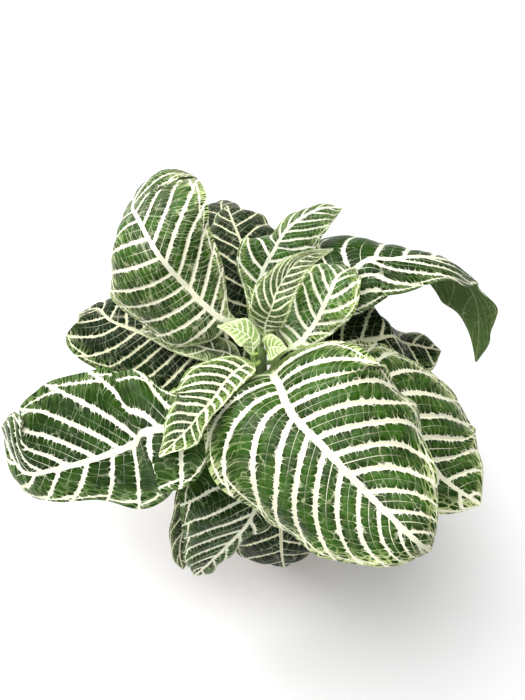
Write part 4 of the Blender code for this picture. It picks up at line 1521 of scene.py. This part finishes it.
@dataclass
class ClayPot:
    """A plain round pot of fired clay with a rim band.

    base and top: its radius at the foot and at the rim. rim_height and rim_step: how deep the rim band
    is, and how far it stands out. wall and floor: thicknesses. corner and lip: the radius of its corners
    and of the rim's inner one. Lengths are in millimetres.
    """

    height: float = POT_HEIGHT
    base: float = 49.0
    top: float = 66.0
    rim_height: float = 20.0
    rim_step: float = 3.5
    wall: float = 4.0
    floor: float = 6.0
    corner: float = 1.6
    lip: float = 1.4
    sides: int = 128
    look: ClayFinish = ClayFinish()

    def profile(self) -> list[tuple[float, float]]:
        """The section from the middle of the floor, over the rim and down to the middle of the base.

        Returns:
            Radii and heights in millimetres.
        """
        low = self.height - self.rim_height
        slope = (self.top - self.rim_step - self.base) / low
        inner_top = self.top - self.wall - self.rim_step * 0.6
        inner_low = self.base + slope * self.floor - self.wall
        r = self.corner
        line = [(0.0, self.floor), (inner_low - r, self.floor)]
        line += arc(inner_low - r, self.floor + r, r, -80, -5)
        line += arc(inner_top + 1.3, self.height - self.lip, self.lip, 175, 95)
        line += arc(self.top - r, self.height - r, r, 85, 5)
        line += arc(self.top - 0.9 - r, low + r, r, -5, -80)
        line += [(self.base + slope * low + 0.5, low), (self.base + slope * low, low - 0.5)]
        line += [(self.base + slope * (low * k / 6), low * k / 6) for k in range(5, 0, -1)]
        line += arc(self.base - r + slope * r, r, r, -5, -85)
        return [*line, (0.0, 0.0)]

    def finish(self, grain: EarthGrain) -> bpy.types.Material:
        """Matt orange-brown clay with pale bloom, fine pits and a darker damp foot.

        Args:
            grain: the shared speckle.

        Returns:
            The material.
        """
        look = self.look
        made, g, shader = new_material("fired_clay_worn")
        earth = grain.put(g, {"Grain": 700.0, "Blotch": 22.0})
        clay = g.mix(earth["Blotch"], look.dark, look.pale)
        clay = g.mix(earth["Speck"] * 0.35, clay, look.speck)
        height, streak = g.height(), g.noise(g.place(), 60.0, 4.0, 0.65)
        bloom = streak.step(0.52, 0.75) * height.step(0.02, 0.10, 0.15, 0.5)
        clay = g.mix(bloom, clay, look.bloom)
        damp = height.step(0.0, look.damp_height, 0.55, 0.0) * streak
        g.feed(shader.inputs["Base Color"], g.mix(damp, clay, look.damp))
        g.feed(shader.inputs["Roughness"], streak.step(0.2, 0.8, *look.rough))
        shader.inputs["Specular IOR Level"].default_value = look.gloss
        g.feed(shader.inputs["Normal"], g.bump(earth["Relief"], 0.0004, 0.6))
        return made

    def build(self, grain: EarthGrain) -> bpy.types.Object:
        """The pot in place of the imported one.

        Args:
            grain: the shared speckle.

        Returns:
            The finished piece.
        """
        made = turned("pot_fine", self.profile(), self.sides, self.finish(grain))
        made.data.shade_smooth()
        made.data.set_sharp_from_angle(angle=math.radians(40))
        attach(made, "root")
        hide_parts("pot")
        return made


@dataclass(frozen=True)
class EarthFinish:
    """The two colours of soil or of grains on it."""

    name: str
    dark: RGB
    pale: RGB


@dataclass(frozen=True)
class Grains:
    """Loose grains of one kind: how many, their size in metres, how flat they are, and their seed."""

    name: str
    number: int
    size: float
    flatness: float
    seed: int
    finish: EarthFinish


GRAINS: tuple[Grains, ...] = (
    Grains("soil_crumbs", 1400, 0.0019, 0.8, 3,
           EarthFinish("soil_crumbs_matt", (0.018, 0.011, 0.008), (0.055, 0.034, 0.022))),
    Grains("soil_bark", 170, 0.0034, 0.45, 11,
           EarthFinish("soil_bark_matt", (0.060, 0.028, 0.014), (0.130, 0.066, 0.034))),
    Grains("soil_grit", 120, 0.0013, 0.85, 23,
           EarthFinish("soil_grit_matt", (0.55, 0.53, 0.48), (0.78, 0.76, 0.72))),
)


class StrewnGrains(ShapeTree):
    """The tree that strews rough grains on a surface: their number, size and flatness are its inputs."""

    SMALLEST = 0.35
    ROUGHNESS = 1.3

    def __init__(self) -> None:
        """Builds the tree once."""
        super().__init__("strewn_grains", {
            "Density": ("Float", 1e5), "Size": ("Float", 0.0012), "Flatness": ("Float", 0.7),
            "Seed": ("Int", 1), "Finish": ("Material", None)})
        g, given = self.graph, self.start.outputs
        points = g.node("GeometryNodeDistributePointsOnFaces")
        for name, source in (("Mesh", "Geometry"), ("Density", "Density"), ("Seed", "Seed")):
            g.feed(points.inputs[name], given[source])
        ball = g.node("GeometryNodeMeshIcoSphere")
        ball.inputs["Radius"].default_value = 1.0
        ball.inputs["Subdivisions"].default_value = 2
        position = g.node("GeometryNodeInputPosition").outputs[0]
        push = g.scaled(position, (g.noise(position, 1.9, 2.0) - 0.5) * self.ROUGHNESS)
        rough = self.chain("GeometryNodeSetPosition", ball.outputs["Mesh"], Offset=push)
        spin = g.node("FunctionNodeRandomValue", data_type="FLOAT_VECTOR")
        spin.inputs[1].default_value = (math.tau, math.tau, math.tau)
        size = g.node("FunctionNodeRandomValue", data_type="FLOAT")
        size.inputs[2].default_value = self.SMALLEST
        size.inputs[3].default_value = 1.0
        for draw in (spin, size):
            g.feed(draw.inputs["Seed"], given["Seed"])
        scale = Number(g, size.outputs[1]) * given["Size"]
        place = g.node("GeometryNodeInstanceOnPoints")
        sizes = g.vector(scale, scale, scale * given["Flatness"])
        for name, value in (("Points", points.outputs["Points"]), ("Instance", rough),
                            ("Rotation", spin.outputs[0]), ("Scale", sizes)):
            g.feed(place.inputs[name], value)
        shape = self.chain("GeometryNodeRealizeInstances", place.outputs["Instances"])
        shape = self.chain("GeometryNodeSetMaterial", shape, Material=given["Finish"])
        g.feed(self.end.inputs["Geometry"], shape)


@dataclass
class Soil:
    """Potting soil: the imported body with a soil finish, and loose crumbs, bark and white grit on top.

    level: its height at the pot's wall. radius: how far out the grains lie. mound: how much higher it is
    in the middle. hole: how near to the axis they lie. lift: how far above the soil. Lengths are in
    millimetres.
    """

    level: float = SOIL_LEVEL
    radius: float = 57.0
    mound: float = 5.0
    hole: float = 8.0
    lift: float = 0.3
    rings: int = 12
    sides: int = 48
    body: EarthFinish = EarthFinish("potting_soil_dark", (0.016, 0.010, 0.007), (0.045, 0.028, 0.018))

    def finish(self, grain: EarthGrain, look: EarthFinish) -> bpy.types.Material:
        """A matt, uneven earth finish.

        Args:
            grain: the shared speckle.
            look: its name and colours.

        Returns:
            The material.
        """
        made, g, shader = new_material(look.name)
        earth = grain.put(g, {"Grain": 900.0, "Blotch": 120.0})
        body = g.mix(earth["Blotch"], look.dark, look.pale)
        g.feed(shader.inputs["Base Color"], g.mix(earth["Speck"] * 0.4, body, look.dark))
        shader.inputs["Roughness"].default_value = 0.95
        shader.inputs["Specular IOR Level"].default_value = 0.25
        g.feed(shader.inputs["Normal"], g.bump(earth["Relief"], 0.0009, 0.9))
        return made

    def surface(self) -> bpy.types.Object:
        """The top of the soil, which the grains lie on.

        Returns:
            An object with that surface.
        """
        points, faces = [], []
        for share in np.linspace(0, 1, self.rings):
            radius = self.hole + (self.radius - self.hole) * share
            z = self.level + self.mound * (1 - radius / self.radius) ** 0.7 + self.lift
            points += [(radius * math.cos(a) * MM, radius * math.sin(a) * MM, z * MM)
                       for a in np.linspace(0, 2 * math.pi, self.sides, endpoint=False)]
        for inner in range(0, (self.rings - 1) * self.sides, self.sides):
            for k in range(self.sides):
                after, outer = (k + 1) % self.sides, inner + self.sides
                faces.append((outer + k, outer + after, inner + after, inner + k))
        mesh = bpy.data.meshes.new("soil_top")
        mesh.from_pydata(points, [], faces)
        return linked("soil_top", mesh)

    def build(self, grain: EarthGrain) -> list[bpy.types.Object]:
        """Dresses the packed soil and strews its grains.

        Args:
            grain: the shared speckle.

        Returns:
            The strewn pieces.
        """
        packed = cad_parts["soil"]
        packed.data.materials.clear()
        packed.data.materials.append(self.finish(grain, self.body))
        strewn = StrewnGrains()
        area = math.pi * (self.radius * MM) ** 2
        made = []
        for kind in GRAINS:
            piece = strewn.shape(self.surface(), kind.name, {
                "Density": kind.number / area, "Size": kind.size, "Flatness": kind.flatness,
                "Seed": kind.seed, "Finish": self.finish(grain, kind.finish)})
            piece.data.shade_smooth()
            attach(piece, "root")
            made.append(piece)
        return made


@dataclass(frozen=True)
class StemFinish:
    """Stem skin: the two greens, the two browns below, and the pores.

    browned: where brown starts to turn green and where it is green, in metres above the floor.
    """

    green: tuple[RGB, RGB] = ((0.13, 0.20, 0.06), (0.07, 0.12, 0.035))
    wood: tuple[RGB, RGB] = ((0.17, 0.12, 0.07), (0.09, 0.06, 0.035))
    pore: RGB = (0.34, 0.34, 0.20)
    browned: tuple[float, float] = (0.13, 0.22)
    rough: tuple[float, float] = (0.48, 0.66)


@dataclass
class Stem:
    """The upright stem, with a swelling where each leaf leaves it and a small bud on top.

    base and top: its radius at the soil and at the tip. swell and reach: how far a swelling stands out, and
    how far it goes up and down. bud: the bud's height. foot: how deep the stem goes into the soil.
    """

    base: float = 6.4
    top: float = 3.0
    swell: float = 0.9
    reach: float = 4.5
    bud: float = 9.0
    bud_rings: int = 8
    foot: float = 45.0
    step: float = 1.25
    sides: int = 48
    look: StemFinish = StemFinish()
    nodes: tuple[float, ...] = tuple(shape.height for shape in LEAVES.values())

    def radius(self, z: float) -> float:
        """The stem's radius at a height, in millimetres.

        Args:
            z: the height.

        Returns:
            The radius.
        """
        share = np.clip((z - SOIL_LEVEL) / (STEM_TOP - SOIL_LEVEL), 0, 1)
        plain = self.base + (self.top - self.base) * share
        swell = max(math.exp(-((z - node + 1.0) / self.reach) ** 2) for node in self.nodes)
        return float(plain + self.swell * swell * (1 - 0.5 * share))

    def seat(self, shape: LeafShape) -> float:
        """How far out a leaf's stalk starts."""
        return max(self.radius(shape.height + dz) for dz in (-shape.stalk, 0.0, shape.stalk))

    def finish(self) -> bpy.types.Material:
        """Green skin that browns towards the soil, with pale pores and fine lengthwise grain.

        Returns:
            The material.
        """
        look = self.look
        made, g, shader = new_material("stem_skin")
        place = g.place()
        stretched = g.node("ShaderNodeMapping")
        stretched.inputs["Scale"].default_value = (1.0, 1.0, 0.12)
        g.feed(stretched.inputs["Vector"], place)
        grain = g.noise(stretched.outputs[0], 900.0, 4.0, 0.6)
        pores = g.cells(place, 420.0, "F1", 1.0).step(0.10, 0.22, 1.0, 0.0)
        skin = g.mix(g.height().step(*look.browned), g.mix(grain, *look.wood), g.mix(grain, *look.green))
        g.feed(shader.inputs["Base Color"], g.mix(pores * 0.5, skin, look.pore))
        g.feed(shader.inputs["Roughness"], grain.step(0.2, 0.8, *look.rough))
        g.feed(shader.inputs["Normal"], g.bump(grain, 0.0005, 0.6))
        return made

    def build(self) -> bpy.types.Object:
        """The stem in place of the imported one.

        Returns:
            The finished piece.
        """
        foot = SOIL_LEVEL - self.foot + GAP
        profile = [(0.0, STEM_TOP + self.bud)]
        for k in range(1, self.bud_rings + 1):
            share = k / self.bud_rings
            profile.append((self.top * share ** 0.62, STEM_TOP + self.bud * (1 - share) ** 1.05))
        profile += [(self.radius(z), z) for z in np.arange(STEM_TOP - 2.0, SOIL_LEVEL + 7.0, -self.step)]
        profile += [(self.base, SOIL_LEVEL + 2.0), (self.base, foot), (0.0, foot)]
        made = turned("stem_fine", profile, self.sides, self.finish())
        made.data.shade_smooth()
        made.data.set_sharp_from_angle(angle=math.radians(60))
        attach(made, "root")
        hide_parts("stem")
        return made


@dataclass(frozen=True)
class Lamp:
    """A square soft light: where it hangs, its side in metres and its power in watts."""

    name: str
    place: tuple[float, float, float]
    size: float
    power: float


@dataclass
class Studio:
    """A pale floor, soft light and the camera at the photograph's angle.

    aim: what the camera and the lights look at. distance and elevation: the camera's, in metres and
    degrees. lens: its focal length in millimetres. ambient: the strength of the light from all round.
    half_floor: half the floor's side in metres.
    """

    aim: tuple[float, float, float] = (0.0, 0.0, 0.29)
    distance: float = 0.8
    elevation: float = 60.0
    lens: float = 50.0
    ambient: float = 0.28
    half_floor: float = 4.0
    lamps: tuple[Lamp, ...] = (
        Lamp("overhead", (-0.25, 0.22, 1.65), 1.6, 34.0), Lamp("window", (-1.2, 1.1, 1.3), 0.7, 16.0),
        Lamp("fill", (-0.8, -1.1, 1.1), 1.0, 9.0))

    def floor(self) -> None:
        """A wide pale floor."""
        made, g, shader = new_material("pale_floor")
        g.feed(shader.inputs["Base Color"], (0.93, 0.93, 0.93))
        shader.inputs["Roughness"].default_value = 0.7
        mesh = bpy.data.meshes.new("floor")
        half = self.half_floor
        corners = [(-half, -half, 0), (half, -half, 0), (half, half, 0), (-half, half, 0)]
        mesh.from_pydata(corners, [], [(0, 1, 2, 3)])
        mesh.materials.append(made)
        thing = linked("floor", mesh)

    def light(self, lamp: Lamp) -> None:
        """Hangs a light that looks at the plant.

        Args:
            lamp: which one.
        """
        data = bpy.data.lights.new(lamp.name, "AREA")
        data.size, data.energy = lamp.size, lamp.power
        thing = linked(lamp.name, data)
        thing.location = lamp.place
        thing.rotation_euler = (Vector(self.aim) - Vector(lamp.place)).to_track_quat("-Z", "Y").to_euler()

    def camera(self) -> None:
        """The camera, looking down at the growing tip."""
        data = bpy.data.cameras.new("camera")
        data.lens, data.sensor_width = self.lens, 36.0
        data.clip_start = 0.02
        thing = linked("camera", data)
        tilt = math.radians(self.elevation)
        away = Vector((0.0, -math.cos(tilt), math.sin(tilt)))
        thing.location = Vector(self.aim) + away * self.distance
        thing.rotation_euler = (-away).to_track_quat("-Z", "Y").to_euler()
        bpy.context.scene.camera = thing

    def build(self) -> None:
        """Sets the stage."""
        scene = bpy.context.scene
        scene.view_settings.view_transform = "Standard"
        scene.world = bpy.data.worlds.new("room")
        scene.world.use_nodes = True
        sky = scene.world.node_tree.nodes["Background"]
        sky.inputs["Color"].default_value = (1.0, 1.0, 1.0, 1.0)
        sky.inputs["Strength"].default_value = self.ambient
        self.floor()
        for lamp in self.lamps:
            self.light(lamp)
        self.camera()


def main() -> None:
    """Builds the plant and its stage in order."""
    logging.basicConfig(level=logging.INFO, format="%(message)s")
    stem = Stem()
    finishes, relief, grain = LeafMaterials(VeinPattern()), ReliefTree(), EarthGrain()
    pieces = [ClayPot().build(grain), stem.build(), *Soil().build(grain)]
    for name, shape in LEAVES.items():
        pieces.append(Leaf(name, shape, stem.seat(shape)).build(relief, finishes))
    for piece in pieces:
        LOG.info("%s: %d faces", piece.name, len(piece.data.polygons))
    Studio().build()


if __name__ == "__main__":
    main()
